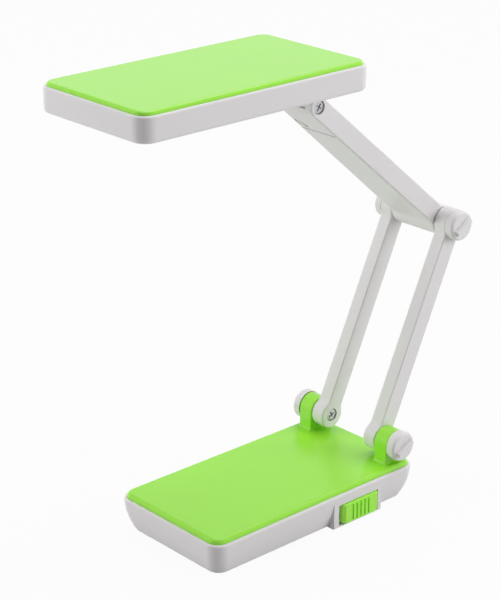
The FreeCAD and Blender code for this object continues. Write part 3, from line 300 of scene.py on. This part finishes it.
class Paint(Shading):
    """Builds one material, most often around a Principled shader."""

    def __init__(self, name):
        self.material = bpy.data.materials.new(name)
        super().__init__(self.material)
        self.place = self.node("ShaderNodeTexCoord", {}, output="Object")

    def noise(self, scale, detail=3.0, roughness=0.55):
        return self.node(
            "ShaderNodeTexNoise", {}, Vector=self.place, Scale=scale, Detail=detail,
            Roughness=roughness,
        )

    def stretched_noise(self, stretch, scale):
        """Noise drawn out along one way, for brushed or moulded streaks."""
        spread = self.node("ShaderNodeMapping", {}, Vector=self.place, Scale=stretch)
        return self.node("ShaderNodeTexNoise", {}, Vector=spread, Scale=scale, Detail=4.0)

    def cells(self, scale, feature="F1"):
        return self.node(
            "ShaderNodeTexVoronoi", {"feature": feature}, Vector=self.place, Scale=scale
        )

    def step(self, value, low, high):
        """A soft step from 0 below low to 1 above high."""
        return self.node("ShaderNodeMapRange", {}, Value=value, From_Min=low, From_Max=high)

    def mix(self, factor, first, second):
        """Blend two colours."""
        first, second = (
            value if isinstance(value, Wire) else (*value, 1) for value in (first, second)
        )
        return self.node(
            "ShaderNodeMix", {"data_type": "RGBA"}, factor,
            numbered={MIX_FIRST: first, MIX_SECOND: second}, output=MIX_RESULT,
        )

    def shades(self, factor, base, dark, light):
        """Blend a darker and a lighter tint of one colour."""
        return self.mix(factor, tinted(base, dark), tinted(base, light))

    def along(self, way, start):
        """How far a point lies along a way from a start."""
        reach = self.node(
            "ShaderNodeVectorMath", {"operation": "DOT_PRODUCT"}, self.place, way, output="Value"
        )
        return reach - start.dot(way)

    def band(self, value, low, high, soft):
        """1 between low and high, falling to 0 over a soft edge."""
        return self.step(value, low - soft, low) * (1 - self.step(value, high, high + soft))

    def bump(self, height, strength, distance):
        return self.node(
            "ShaderNodeBump", {}, Height=height, Strength=strength, Distance=distance,
            output="Normal",
        )

    def lit(self, **sockets):
        return self.node("ShaderNodeBsdfPrincipled", {}, **sockets)

    def close(self, surface):
        """End the material with its surface."""
        self.node("ShaderNodeOutputMaterial", {}, Surface=surface)
        return self.material

    def finish(self, **sockets):
        """End the material with a Principled shader."""
        return self.close(self.lit(**sockets))


def tinted(base, factor):
    """A colour made lighter or darker."""
    return tuple(min(1.0, part * factor) for part in base)


def green_plastic(tones, base, name="green gloss plastic"):
    """Glossy moulded plastic with a faint flow pattern and a soft orange peel."""
    paint = Paint(name)
    flow = paint.noise(scale=26.0, detail=2.0)
    speck = paint.noise(scale=2600.0, detail=1.0)
    body = paint.shades(flow * 0.5 + speck * 0.2, base, dark=0.95, light=1.06)
    gloss = tones.green_gloss - 0.05 + flow * 0.07 + speck * 0.03
    peel = paint.noise(scale=700.0, detail=2.0)
    return paint.finish(
        Base_Color=body, Roughness=gloss, Coat_Weight=0.12, Coat_Roughness=0.12, IOR=1.49,
        Normal=paint.bump(peel * 0.7 + speck * 0.3, strength=0.05, distance=0.0002),
    )


def arm_seam_shade_mask(paint):
    """Mask for painted shade: 1 down in the cross seam and the oval grooves under the upper arm, 0
    on its faces.
    """
    along = (HEAD_PIVOT - ELBOW_PIVOT).normalized()
    down = Vector((0, along.y, along.z)).cross(ACROSS)
    down = down if down.z < 0 else -down
    plate = [vertex.co - ELBOW_PIVOT for vertex in NODES["upper_arm_cover"].data.vertices]
    face = max(point.dot(down) for point in plate)
    end = max(point.dot(along) for point in plate)
    half = max(point.x for point in plate if point.dot(along) > end - PLATE_END)
    depth = face - paint.along(down, ELBOW_PIVOT)
    reach = paint.along(along, ELBOW_PIVOT)
    side = paint.along(ACROSS, ELBOW_PIVOT)
    deep = paint.band(depth, GROOVE_TOP, GROOVE_BOTTOM, GROOVE_DEPTH_BLUR)
    near = paint.band(reach, end, end + GROOVE_REACH, GROOVE_REACH_BLUR)
    inner = paint.band(side, -half, half, GROOVE_SIDE_BLUR)
    return deep * near * inner


def white_plastic(tones, name="white satin plastic", seams=None):
    """Satin moulded plastic with a fine spark-eroded grain, and painted shade in its seams where a
    seam mask is given.
    """
    paint = Paint(name)
    flow = paint.noise(scale=18.0, detail=2.0)
    grain = paint.noise(scale=3200.0, detail=2.0)
    smudge = paint.noise(scale=95.0, detail=4.0)
    base = tuple(tones.white)
    body = paint.shades(flow * 0.6 + grain * 0.25, base, dark=0.965, light=1.02)
    if seams:
        # Painted shade: the seam mask darkens the colour down in the grooves
        body = paint.mix(seams(paint) * PAINTED_GROOVE_SHADE_SHARE, body, tinted(base, GROOVE_SHADE))
    gloss = tones.white_gloss - 0.06 + smudge * 0.10 + grain * 0.05
    return paint.finish(
        Base_Color=body, Roughness=gloss, IOR=1.48,
        Normal=paint.bump(grain * 0.8 + smudge * 0.2, strength=0.07, distance=0.0002),
    )


def screw_steel(tones):
    """Plated steel with fine scratches."""
    paint = Paint("plated steel")
    streak = paint.stretched_noise(stretch=(1.0, 0.2, 1.0), scale=1500.0)
    cloud = paint.noise(scale=350.0)
    base = tuple(tones.steel)
    return paint.finish(
        Base_Color=paint.shades(cloud, base, dark=0.86, light=1.12), Metallic=1.0,
        Roughness=0.24 + streak * 0.16, Normal=paint.bump(streak, strength=0.08, distance=0.0002),
    )


def foot_rubber(tones):
    """Matt rubber with a stipple and pale dust."""
    paint = Paint("foot rubber")
    stipple = paint.noise(scale=1600.0, detail=4.0)
    dust = paint.step(paint.noise(scale=240.0), low=0.52, high=0.80)
    base = tuple(tones.rubber)
    return paint.finish(
        Base_Color=paint.mix(dust * 0.35, base, tinted(base, 3.2)), Roughness=0.78 + stipple * 0.12,
        Normal=paint.bump(stipple, strength=0.25, distance=0.0003),
    )


def circuit_board(tones):
    """Lacquered board with buried tracks and tinned pads."""
    paint = Paint("circuit board")
    tracks = paint.step(paint.cells(scale=260.0, feature="DISTANCE_TO_EDGE"), low=0.030, high=0.055)
    pads = 1 - paint.step(paint.cells(scale=190.0), low=0.20, high=0.24)
    base = tuple(tones.board)
    lacquer = paint.mix(tracks, tinted(base, 1.9), base)
    return paint.finish(
        Base_Color=paint.mix(pads, lacquer, tuple(tones.silver)), Metallic=pads * 0.9,
        Roughness=0.34 - pads * 0.08, Normal=paint.bump(1 - tracks, strength=0.15, distance=0.0002),
    )


def battery_case(tones):
    """Battery case in dark shrink wrap with faint pulls."""
    paint = Paint("battery wrap")
    pulls = paint.stretched_noise(stretch=(0.25, 1.0, 1.0), scale=130.0)
    base = tuple(tones.cell)
    return paint.finish(
        Base_Color=paint.shades(pulls, base, dark=0.8, light=1.3), Roughness=0.30 + pulls * 0.16,
        Normal=paint.bump(pulls, strength=0.15, distance=0.0005),
    )


def dark_plastic(tones):
    """Black moulded plastic of the socket, switch and leads."""
    paint = Paint("dark plastic")
    grain = paint.noise(scale=2200.0)
    base = tuple(tones.dark)
    return paint.finish(
        Base_Color=paint.shades(grain, base, dark=0.8, light=1.5), Roughness=0.38 + grain * 0.14,
        Normal=paint.bump(grain, strength=0.12, distance=0.0002),
    )


def clear_lens(tones):
    """Clear plastic with a pattern of small prisms moulded in it."""
    paint = Paint("prismatic clear plastic")
    cells = paint.cells(scale=520.0)
    haze = paint.noise(scale=140.0)
    base = tuple(tones.clear)
    return paint.finish(
        Base_Color=paint.mix(haze * 0.4, base, tinted(base, 0.92)), Roughness=0.06 + haze * 0.06,
        Alpha=0.08 + haze * 0.05, IOR=1.49,
        Normal=paint.bump(cells, strength=0.20, distance=0.0004),
    )


def reflector_silver(tones):
    """Metallised plastic with a slightly uneven bright coat."""
    paint = Paint("metallised plastic")
    cloud = paint.noise(scale=60.0)
    speck = paint.noise(scale=1900.0)
    base = tuple(tones.silver)
    return paint.finish(
        Base_Color=paint.shades(cloud, base, dark=0.92, light=1.06), Metallic=0.85,
        Roughness=0.16 + cloud * 0.12, Normal=paint.bump(speck, strength=0.04, distance=0.0002),
    )


def diode_resin(tones):
    """Cloudy epoxy in a warm yellow."""
    paint = Paint("diode resin")
    cloud = paint.noise(scale=900.0)
    base = tuple(tones.resin)
    return paint.finish(
        Base_Color=paint.shades(cloud, base, dark=0.86, light=1.08), Roughness=0.10 + cloud * 0.08,
        Coat_Weight=0.4, Normal=paint.bump(cloud, strength=0.04, distance=0.0002),
    )


def washer_nylon(tones):
    """Waxy washer plastic."""
    paint = Paint("washer nylon")
    grain = paint.noise(scale=1500.0)
    base = tuple(tones.nylon)
    return paint.finish(
        Base_Color=paint.shades(grain, base, dark=0.93, light=1.04), Roughness=0.50 + grain * 0.12,
        Normal=paint.bump(grain, strength=0.08, distance=0.0002),
    )


def dress(material, *names):
    """Give CAD nodes one finish."""
    for name in names:
        slots = NODES[name].data.materials
        slots.clear()
        slots.append(material)


# Mesh and geometry nodes


def ringed_mesh(name, angles, rings):
    """A closed round shape from rings, each a height and a radius for every angle."""
    mesh = bpy.data.meshes.new(name)
    shape = bmesh.new()
    loops = []
    for height, radius in rings:
        loops.append([
            shape.verts.new(
                (radius(angle) * math.cos(angle), radius(angle) * math.sin(angle), height)
            )
            for angle in angles
        ])
    count = len(angles)
    for low, high in zip(loops, loops[1:]):
        for spot in range(count):
            after = (spot + 1) % count
            shape.faces.new((low[spot], low[after], high[after], high[spot]))
    for loop, height in ((loops[0], rings[0][0]), (loops[-1], rings[-1][0])):
        middle = shape.verts.new((0, 0, height))
        for spot in range(count):
            after = (spot + 1) % count
            shape.faces.new((loop[spot], loop[after], middle))
    bmesh.ops.recalc_face_normals(shape, faces=shape.faces)
    shape.to_mesh(mesh)
    shape.free()
    return mesh


def even(radius):
    """A ring of one radius."""
    return lambda angle: radius


def cross(reach, half):
    """The outline of a cross recess: four arms of that reach and half width."""
    def radius(angle):
        part = abs((angle + math.pi / 4) % (math.pi / 2) - math.pi / 4)
        tip = reach / math.cos(part)
        side = half / max(math.sin(part), 1e-6)
        return min(tip, side)
    return radius


def cross_angles(reach, half):
    """Angles that catch every corner of the cross."""
    corner = math.atan2(half, reach)
    between = (corner + math.pi / 4) / 2
    quarter = [
        -corner, -corner / 2, 0, corner / 2, corner, between, math.pi / 4, math.pi / 2 - between,
    ]
    return [turn * math.pi / 2 + angle for turn in range(4) for angle in quarter]


def screw_template(sizes, shank_share, shank_length, head_depth):
    """A screw of unit head radius along +Z: its head's underside is at 0, its recess on top."""
    reach = sizes.recess_reach
    half = sizes.recess_width
    top = head_depth
    return ringed_mesh("screw template", cross_angles(reach, half), [
        (-shank_length, even(shank_share * TIP_RADIUS)),
        (-shank_length + shank_share * TIP_LENGTH, even(shank_share)),
        (0, even(shank_share)),
        (0, even(1.0)),
        (top - sizes.rim * RIM_DROP, even(1.0)),
        (top - sizes.rim * RIM_BEND, even(1.0 - sizes.rim * RIM_BEND)),
        (top, even(1.0 - sizes.rim)),
        (top, cross(reach, half)),
        (top - sizes.recess_depth, cross(reach * RECESS_END_REACH, half * RECESS_END_WIDTH)),
    ])


def new_tree(name, sockets):
    """A geometry tree with named inputs and one geometry output."""
    tree = bpy.data.node_groups.new(name, "GeometryNodeTree")
    for label, kind in sockets:
        tree.interface.new_socket(label, in_out="INPUT", socket_type=kind)
    tree.interface.new_socket("Geometry", in_out="OUTPUT", socket_type="NodeSocketGeometry")
    return tree


def grow(tree, kind, settings=None, **inputs):
    """Add a geometry node with its settings, and its sockets by name."""
    item = tree.nodes.new(kind)
    for key, value in (settings or {}).items():
        setattr(item, key, value)
    for key, value in inputs.items():
        socket = item.inputs[key.replace("_", " ")]
        if isinstance(value, bpy.types.NodeSocket):
            tree.links.new(value, socket)
        else:
            socket.default_value = value
    return item


def screw_tree():
    """Sets a screw on each point, along the point's aim and turned about it."""
    tree = new_tree("Screw set", (
        ("Geometry", "NodeSocketGeometry"),
        ("Screw", "NodeSocketObject"),
        ("Head radius", "NodeSocketFloat"),
        ("Finish", "NodeSocketMaterial"),
    ))
    start = tree.nodes.new("NodeGroupInput").outputs
    screw = grow(tree, "GeometryNodeObjectInfo", {}, Object=start["Screw"])
    aim = grow(tree, "GeometryNodeInputNamedAttribute", {"data_type": "FLOAT_VECTOR"}, Name="aim")
    turn = grow(tree, "GeometryNodeInputNamedAttribute", {"data_type": "FLOAT"}, Name="turn")
    align = grow(
        tree, "FunctionNodeAlignRotationToVector", {"axis": "Z"}, Vector=aim.outputs["Attribute"]
    )
    spin = grow(
        tree, "FunctionNodeAxisAngleToRotation", {}, Axis=(0, 0, 1),
        Angle=turn.outputs["Attribute"],
    )
    both = grow(
        tree, "FunctionNodeRotateRotation", {"rotation_space": "LOCAL"},
        Rotation=align.outputs["Rotation"], Rotate_By=spin.outputs["Rotation"],
    )
    placed = grow(
        tree, "GeometryNodeInstanceOnPoints", {}, Points=start["Geometry"],
        Instance=screw.outputs["Geometry"], Rotation=both.outputs["Rotation"],
        Scale=start["Head radius"],
    )
    end_tree(tree, placed.outputs["Instances"], start["Finish"])
    return tree


def diode_tree():
    """Sets a diode on each point of a level grid."""
    tree = new_tree("Diode grid", (
        ("Geometry", "NodeSocketGeometry"),
        ("Diode", "NodeSocketObject"),
        ("Width", "NodeSocketFloat"),
        ("Length", "NodeSocketFloat"),
        ("Rows", "NodeSocketInt"),
        ("Columns", "NodeSocketInt"),
        ("Place", "NodeSocketVector"),
        ("Radius", "NodeSocketFloat"),
        ("Finish", "NodeSocketMaterial"),
    ))
    start = tree.nodes.new("NodeGroupInput").outputs
    diode = grow(tree, "GeometryNodeObjectInfo", {}, Object=start["Diode"])
    grid = grow(
        tree, "GeometryNodeMeshGrid", {}, Size_X=start["Width"], Size_Y=start["Length"],
        Vertices_X=start["Rows"], Vertices_Y=start["Columns"],
    )
    moved = grow(
        tree, "GeometryNodeTransform", {}, Geometry=grid.outputs["Mesh"], Translation=start["Place"]
    )
    placed = grow(
        tree, "GeometryNodeInstanceOnPoints", {}, Points=moved.outputs["Geometry"],
        Instance=diode.outputs["Geometry"], Scale=start["Radius"],
    )
    end_tree(tree, placed.outputs["Instances"], start["Finish"])
    return tree


def end_tree(tree, instances, finish):
    """Make the instances real, give them their finish and close the tree."""
    real = grow(tree, "GeometryNodeRealizeInstances", {}, Geometry=instances)
    painted = grow(
        tree, "GeometryNodeSetMaterial", {}, Geometry=real.outputs["Geometry"], Material=finish
    )
    last = tree.nodes.new("NodeGroupOutput")
    tree.links.new(painted.outputs["Geometry"], last.inputs["Geometry"])


def link(thing):
    bpy.context.scene.collection.objects.link(thing)
    return thing


def grown_piece(name, tree, seed_mesh, inputs):
    """Run a geometry tree on a mesh and keep the result as a plain mesh at the origin."""
    piece = link(bpy.data.objects.new(name, seed_mesh))
    modifier = piece.modifiers.new("Grow", "NODES")
    modifier.node_group = tree
    for item in tree.interface.items_tree:
        if item.in_out == "INPUT" and item.name in inputs:
            modifier[item.identifier] = inputs[item.name]
    graph = bpy.context.evaluated_depsgraph_get()
    mesh = bpy.data.meshes.new_from_object(piece.evaluated_get(graph))
    piece.modifiers.remove(modifier)
    piece.data = mesh
    mesh.name = name
    return piece


def template_object(mesh):
    return link(bpy.data.objects.new(mesh.name, mesh))


def screw_points(name, places, aims, turns):
    """Seed points for screws: where each head's underside is, which way it looks and its turn."""
    mesh = bpy.data.meshes.new(name)
    mesh.from_pydata([tuple(place) for place in places], [], [])
    mesh.attributes.new("aim", "FLOAT_VECTOR", "POINT")
    mesh.attributes.new("turn", "FLOAT", "POINT")
    for number, (way, angle) in enumerate(zip(aims, turns)):
        mesh.attributes["aim"].data[number].vector = way
        mesh.attributes["turn"].data[number].value = angle
    return mesh


def smooth_by_angle(piece, degrees):
    """Shade soft edges smooth and keep sharp ones crisp."""
    piece.data.polygons.foreach_set("use_smooth", [True] * len(piece.data.polygons))
    piece.data.set_sharp_from_angle(angle=math.radians(degrees))


def set_screws(context, node, body, measure, shank_length, places, aims, turns):
    """Replace a screw node by screws with cross recesses of the same size and place."""
    head_radius, shank_radius, head_depth = measure
    template = template_object(screw_template(
        context.scene.lamp_screws, shank_radius / head_radius, shank_length / head_radius,
        head_depth / head_radius,
    ))
    piece = grown_piece(
        f"{node}_recessed", screw_tree(), screw_points(node, places, aims, turns),
        {
            "Screw": template,
            "Head radius": head_radius,
            "Finish": bpy.data.materials["plated steel"],
        },
    )
    bpy.data.objects.remove(template)
    smooth_by_angle(piece, SCREW_CREASE)
    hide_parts(node)
    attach(piece, body)


def quarters(node, radius):
    """Middles, in plan, of the four upright screws of a node."""
    low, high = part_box(node)
    return [
        (x, y)
        for x in (low.x + radius, high.x - radius)
        for y in (low.y + radius, high.y - radius)
    ]


def radians(degrees):
    return [math.radians(angle) for angle in degrees]


# Operators


class LAMP_OT_finishes(bpy.types.Operator):
    """Give the shells, arms, screws, feet and washers their finishes"""

    bl_idname = "lamp.finishes"
    bl_label = "Finishes"

    def execute(self, context):
        tones = context.scene.lamp_finishes
        dress(green_plastic(tones, tones.green), "base_cover", "head_panel")
        # The switch button gets a lighter copy of the cover green, as painted light
        dress(green_plastic(tones, tones.button, "light green gloss plastic"), "switch_slider")
        dress(
            white_plastic(tones), "base_tub", "left_lower_arm", "right_lower_arm", "left_arm_cover",
            "right_arm_cover", "left_hinge_cap", "right_hinge_cap", "left_elbow_cap",
            "right_elbow_cap", "head_housing",
        )
        dress(
            # The upper arm's material has painted shade in its seams and grooves
            white_plastic(tones, "white satin plastic with seams", arm_seam_shade_mask),
            "upper_arm", "upper_arm_cover",
        )
        dress(
            screw_steel(tones), "base_screws", "board_screws", "hinge_screws", "elbow_bolt",
            "head_screws", "head_hinge_screws", "socket_pin",
        )
        dress(foot_rubber(tones), "foot_pads")
        dress(washer_nylon(tones), "hinge_washers", "elbow_washers", "head_hinge_washers")
        return {"FINISHED"}


class LAMP_OT_supply(bpy.types.Operator):
    """Give the battery, boards, socket and leads their finishes"""

    bl_idname = "lamp.supply"
    bl_label = "Supply"

    def execute(self, context):
        tones = context.scene.lamp_finishes
        dress(battery_case(tones), "battery")
        dress(circuit_board(tones), "charger_board", "led_board")
        dress(
            dark_plastic(tones), "charge_socket", "slide_switch", "switch_lever", "lower_arm_lead",
            "upper_arm_lead",
        )
        return {"FINISHED"}


class LAMP_OT_screws(bpy.types.Operator):
    """Replace the plain screws by screws with cross recesses"""

    bl_idname = "lamp.screws"
    bl_label = "Screws"

    def execute(self, context):
        self.hinge_screws(
            context, "hinge_screws", "lower_arms", BASE_PIVOT, LOWER_HINGE_SCREW, inward=True
        )
        self.hinge_screws(
            context, "head_hinge_screws", "head", HEAD_PIVOT, HEAD_HINGE_SCREW, inward=False
        )
        self.case_screws(context, "base_screws", "base", BASE_SCREW)
        self.case_screws(context, "head_screws", "head", HEAD_SCREW)
        return {"FINISHED"}

    def hinge_screws(self, context, node, body, pivot, measure, inward):
        """Two screws on a hinge line whose heads look at each other or away."""
        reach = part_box(node)[1].x
        seat = self.inner_end(node) + measure.head_depth if inward else reach - measure.head_depth
        shank = reach - seat if inward else seat - self.inner_end(node)
        sides = (-1, 1)
        places = [(side * seat, pivot.y, pivot.z) for side in sides]
        aims = [((-side if inward else side), 0, 0) for side in sides]
        set_screws(context, node, body, measure, shank, places, aims, radians(HINGE_SCREW_TURNS))

    def inner_end(self, node):
        """How near the node's solids come to the middle."""
        return min(abs(vertex.co.x) for vertex in NODES[node].data.vertices)

    def case_screws(self, context, node, body, measure):
        """Four upright screws whose heads look down."""
        low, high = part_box(node)
        seat = low.z + measure.head_depth
        places = [(x, y, seat) for x, y in quarters(node, measure.head_radius)]
        aims = [(0, 0, -1)] * len(places)
        set_screws(
            context, node, body, measure, high.z - seat, places, aims, radians(CASE_SCREW_TURNS)
        )


class LAMP_OT_light_source(bpy.types.Operator):
    """Fit the lens, the reflector and the grid of diodes"""

    bl_idname = "lamp.light_source"
    bl_label = "Light source"

    def execute(self, context):
        tones = context.scene.lamp_finishes
        dress(clear_lens(tones), "lens")
        dress(reflector_silver(tones), "reflector")
        resin = diode_resin(tones)
        dress(resin, "leds")
        self.diodes(context.scene.lamp_diodes, resin)
        return {"FINISHED"}

    def diodes(self, sizes, resin):
        """Replace the plain diodes by a grid of domed ones that point down."""
        low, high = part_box("leds")
        radius = sizes.radius
        tall = (high.z - low.z) / radius
        turns = [math.tau * step / DIODE_SIDES for step in range(DIODE_SIDES)]
        dome = [
            (-tall + 1 - math.cos(angle), even(max(math.sin(angle), DOME_TIP)))
            for angle in radians(DOME_RINGS)
        ]
        mesh = ringed_mesh("diode template", turns, dome + [(0, even(1.0))])
        template = template_object(mesh)
        seed = bpy.data.meshes.new("diode seed")
        middle = (low + high) / 2
        piece = grown_piece("domed_diodes", diode_tree(), seed, {
            "Diode": template,
            "Width": high.x - low.x - 2 * radius,
            "Length": high.y - low.y - 2 * radius,
            "Rows": sizes.rows,
            "Columns": sizes.columns,
            "Place": (middle.x, middle.y, high.z),
            "Radius": radius,
            "Finish": resin,
        })
        bpy.data.objects.remove(template)
        smooth_by_angle(piece, DIODE_CREASE)
        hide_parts("leds")
        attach(piece, "head")


class LAMP_OT_stage(bpy.types.Operator):
    """Set the floor, the lights and the camera"""

    bl_idname = "lamp.stage"
    bl_label = "Stage"

    def execute(self, context):
        studio = context.scene.lamp_studio
        self.floor()
        self.world(studio)
        self.area("top light", TOP_LIGHT, TOP_LIGHT_SIZE, studio.top_power)
        for light in (
            self.area("left light", LEFT_LIGHT, SIDE_LIGHT_SIZE, studio.left_power),
            self.area("right light", RIGHT_LIGHT, SIDE_LIGHT_SIZE, studio.right_power),
        ):
            light.visible_glossy = False
        self.camera(context, studio)
        context.scene.view_settings.view_transform = "Standard"
        return {"FINISHED"}

    def floor(self):
        """A pale floor that reads white to the camera and keeps a faint shadow."""
        mesh = bpy.data.meshes.new("floor")
        shape = bmesh.new()
        bmesh.ops.create_grid(shape, x_segments=1, y_segments=1, size=FLOOR_HALF)
        shape.to_mesh(mesh)
        shape.free()
        floor = link(bpy.data.objects.new("floor", mesh))
        paint = Paint("pale floor")
        lit = paint.lit(Base_Color=FLOOR_GREY, Roughness=FLOOR_ROUGHNESS)
        glow = paint.node("ShaderNodeEmission", {})
        blend = paint.node("ShaderNodeMixShader", {}, paint.shown() * FLOOR_GLOW, lit, glow)
        mesh.materials.append(paint.close(blend))

    def world(self, studio):
        """Even light for the lamp, and white for the camera and for clear or bright pieces."""
        world = bpy.data.worlds.new("studio")
        sky = Shading(world)
        even_light = sky.node("ShaderNodeBackground", {}, Color=WHITE, Strength=studio.sky)
        white = sky.node("ShaderNodeBackground", {}, Color=WHITE, Strength=1)
        blend = sky.node("ShaderNodeMixShader", {}, sky.shown(), even_light, white)
        sky.node("ShaderNodeOutputWorld", {}, Surface=blend)
        bpy.context.scene.world = world

    def area(self, name, place, size, watts):
        """A soft square light that looks at the middle of the desk lamp."""
        lamp = bpy.data.lights.new(name, "AREA")
        lamp.size = size
        lamp.energy = watts
        light = link(bpy.data.objects.new(name, lamp))
        light.location = place
        middle = (Vector(CAD_BOX[0]) + Vector(CAD_BOX[1])) / 2
        light.rotation_mode = "QUATERNION"
        light.rotation_quaternion = (Vector(place) - middle).to_track_quat("Z", "Y")
        return light

    def camera(self, context, studio):
        lens = bpy.data.cameras.new("camera")
        lens.sensor_width = SENSOR_WIDTH_MM
        lens.lens = studio.lens
        lens.clip_start = CLIP_START
        camera = link(bpy.data.objects.new("camera", lens))
        camera.location = studio.camera_place
        camera.rotation_mode = "QUATERNION"
        camera.rotation_quaternion = Vector(studio.camera_back).to_track_quat("Z", "Y")
        context.scene.camera = camera


class LAMP_PT_panel(bpy.types.Panel):
    """Lists the lamp's operators and their settings"""

    bl_idname = "LAMP_PT_panel"
    bl_label = "Folding desk lamp"
    bl_space_type = "VIEW_3D"
    bl_region_type = "UI"
    bl_category = "Lamp"

    def draw(self, context):
        for operator in OPERATORS:
            self.layout.operator(operator.bl_idname)
        for name in GROUPS:
            group = getattr(context.scene, name)
            for key in group.__annotations__:
                self.layout.prop(group, key)


GROUPS = {
    "lamp_finishes": LampFinishes,
    "lamp_screws": LampScrews,
    "lamp_diodes": LampDiodes,
    "lamp_studio": LampStudio,
}
OPERATORS = (LAMP_OT_finishes, LAMP_OT_supply, LAMP_OT_screws, LAMP_OT_light_source, LAMP_OT_stage)
CLASSES = (*GROUPS.values(), *OPERATORS, LAMP_PT_panel)


def register():
    for item in CLASSES:
        bpy.utils.register_class(item)
    for name, group in GROUPS.items():
        setattr(bpy.types.Scene, name, PointerProperty(type=group))


def unregister():
    for name in GROUPS:
        delattr(bpy.types.Scene, name)
    for item in reversed(CLASSES):
        bpy.utils.unregister_class(item)


def main():
    register()
    bpy.ops.lamp.finishes()
    bpy.ops.lamp.supply()
    bpy.ops.lamp.screws()
    bpy.ops.lamp.light_source()
    bpy.ops.lamp.stage()


if __name__ == "__main__":
    main()
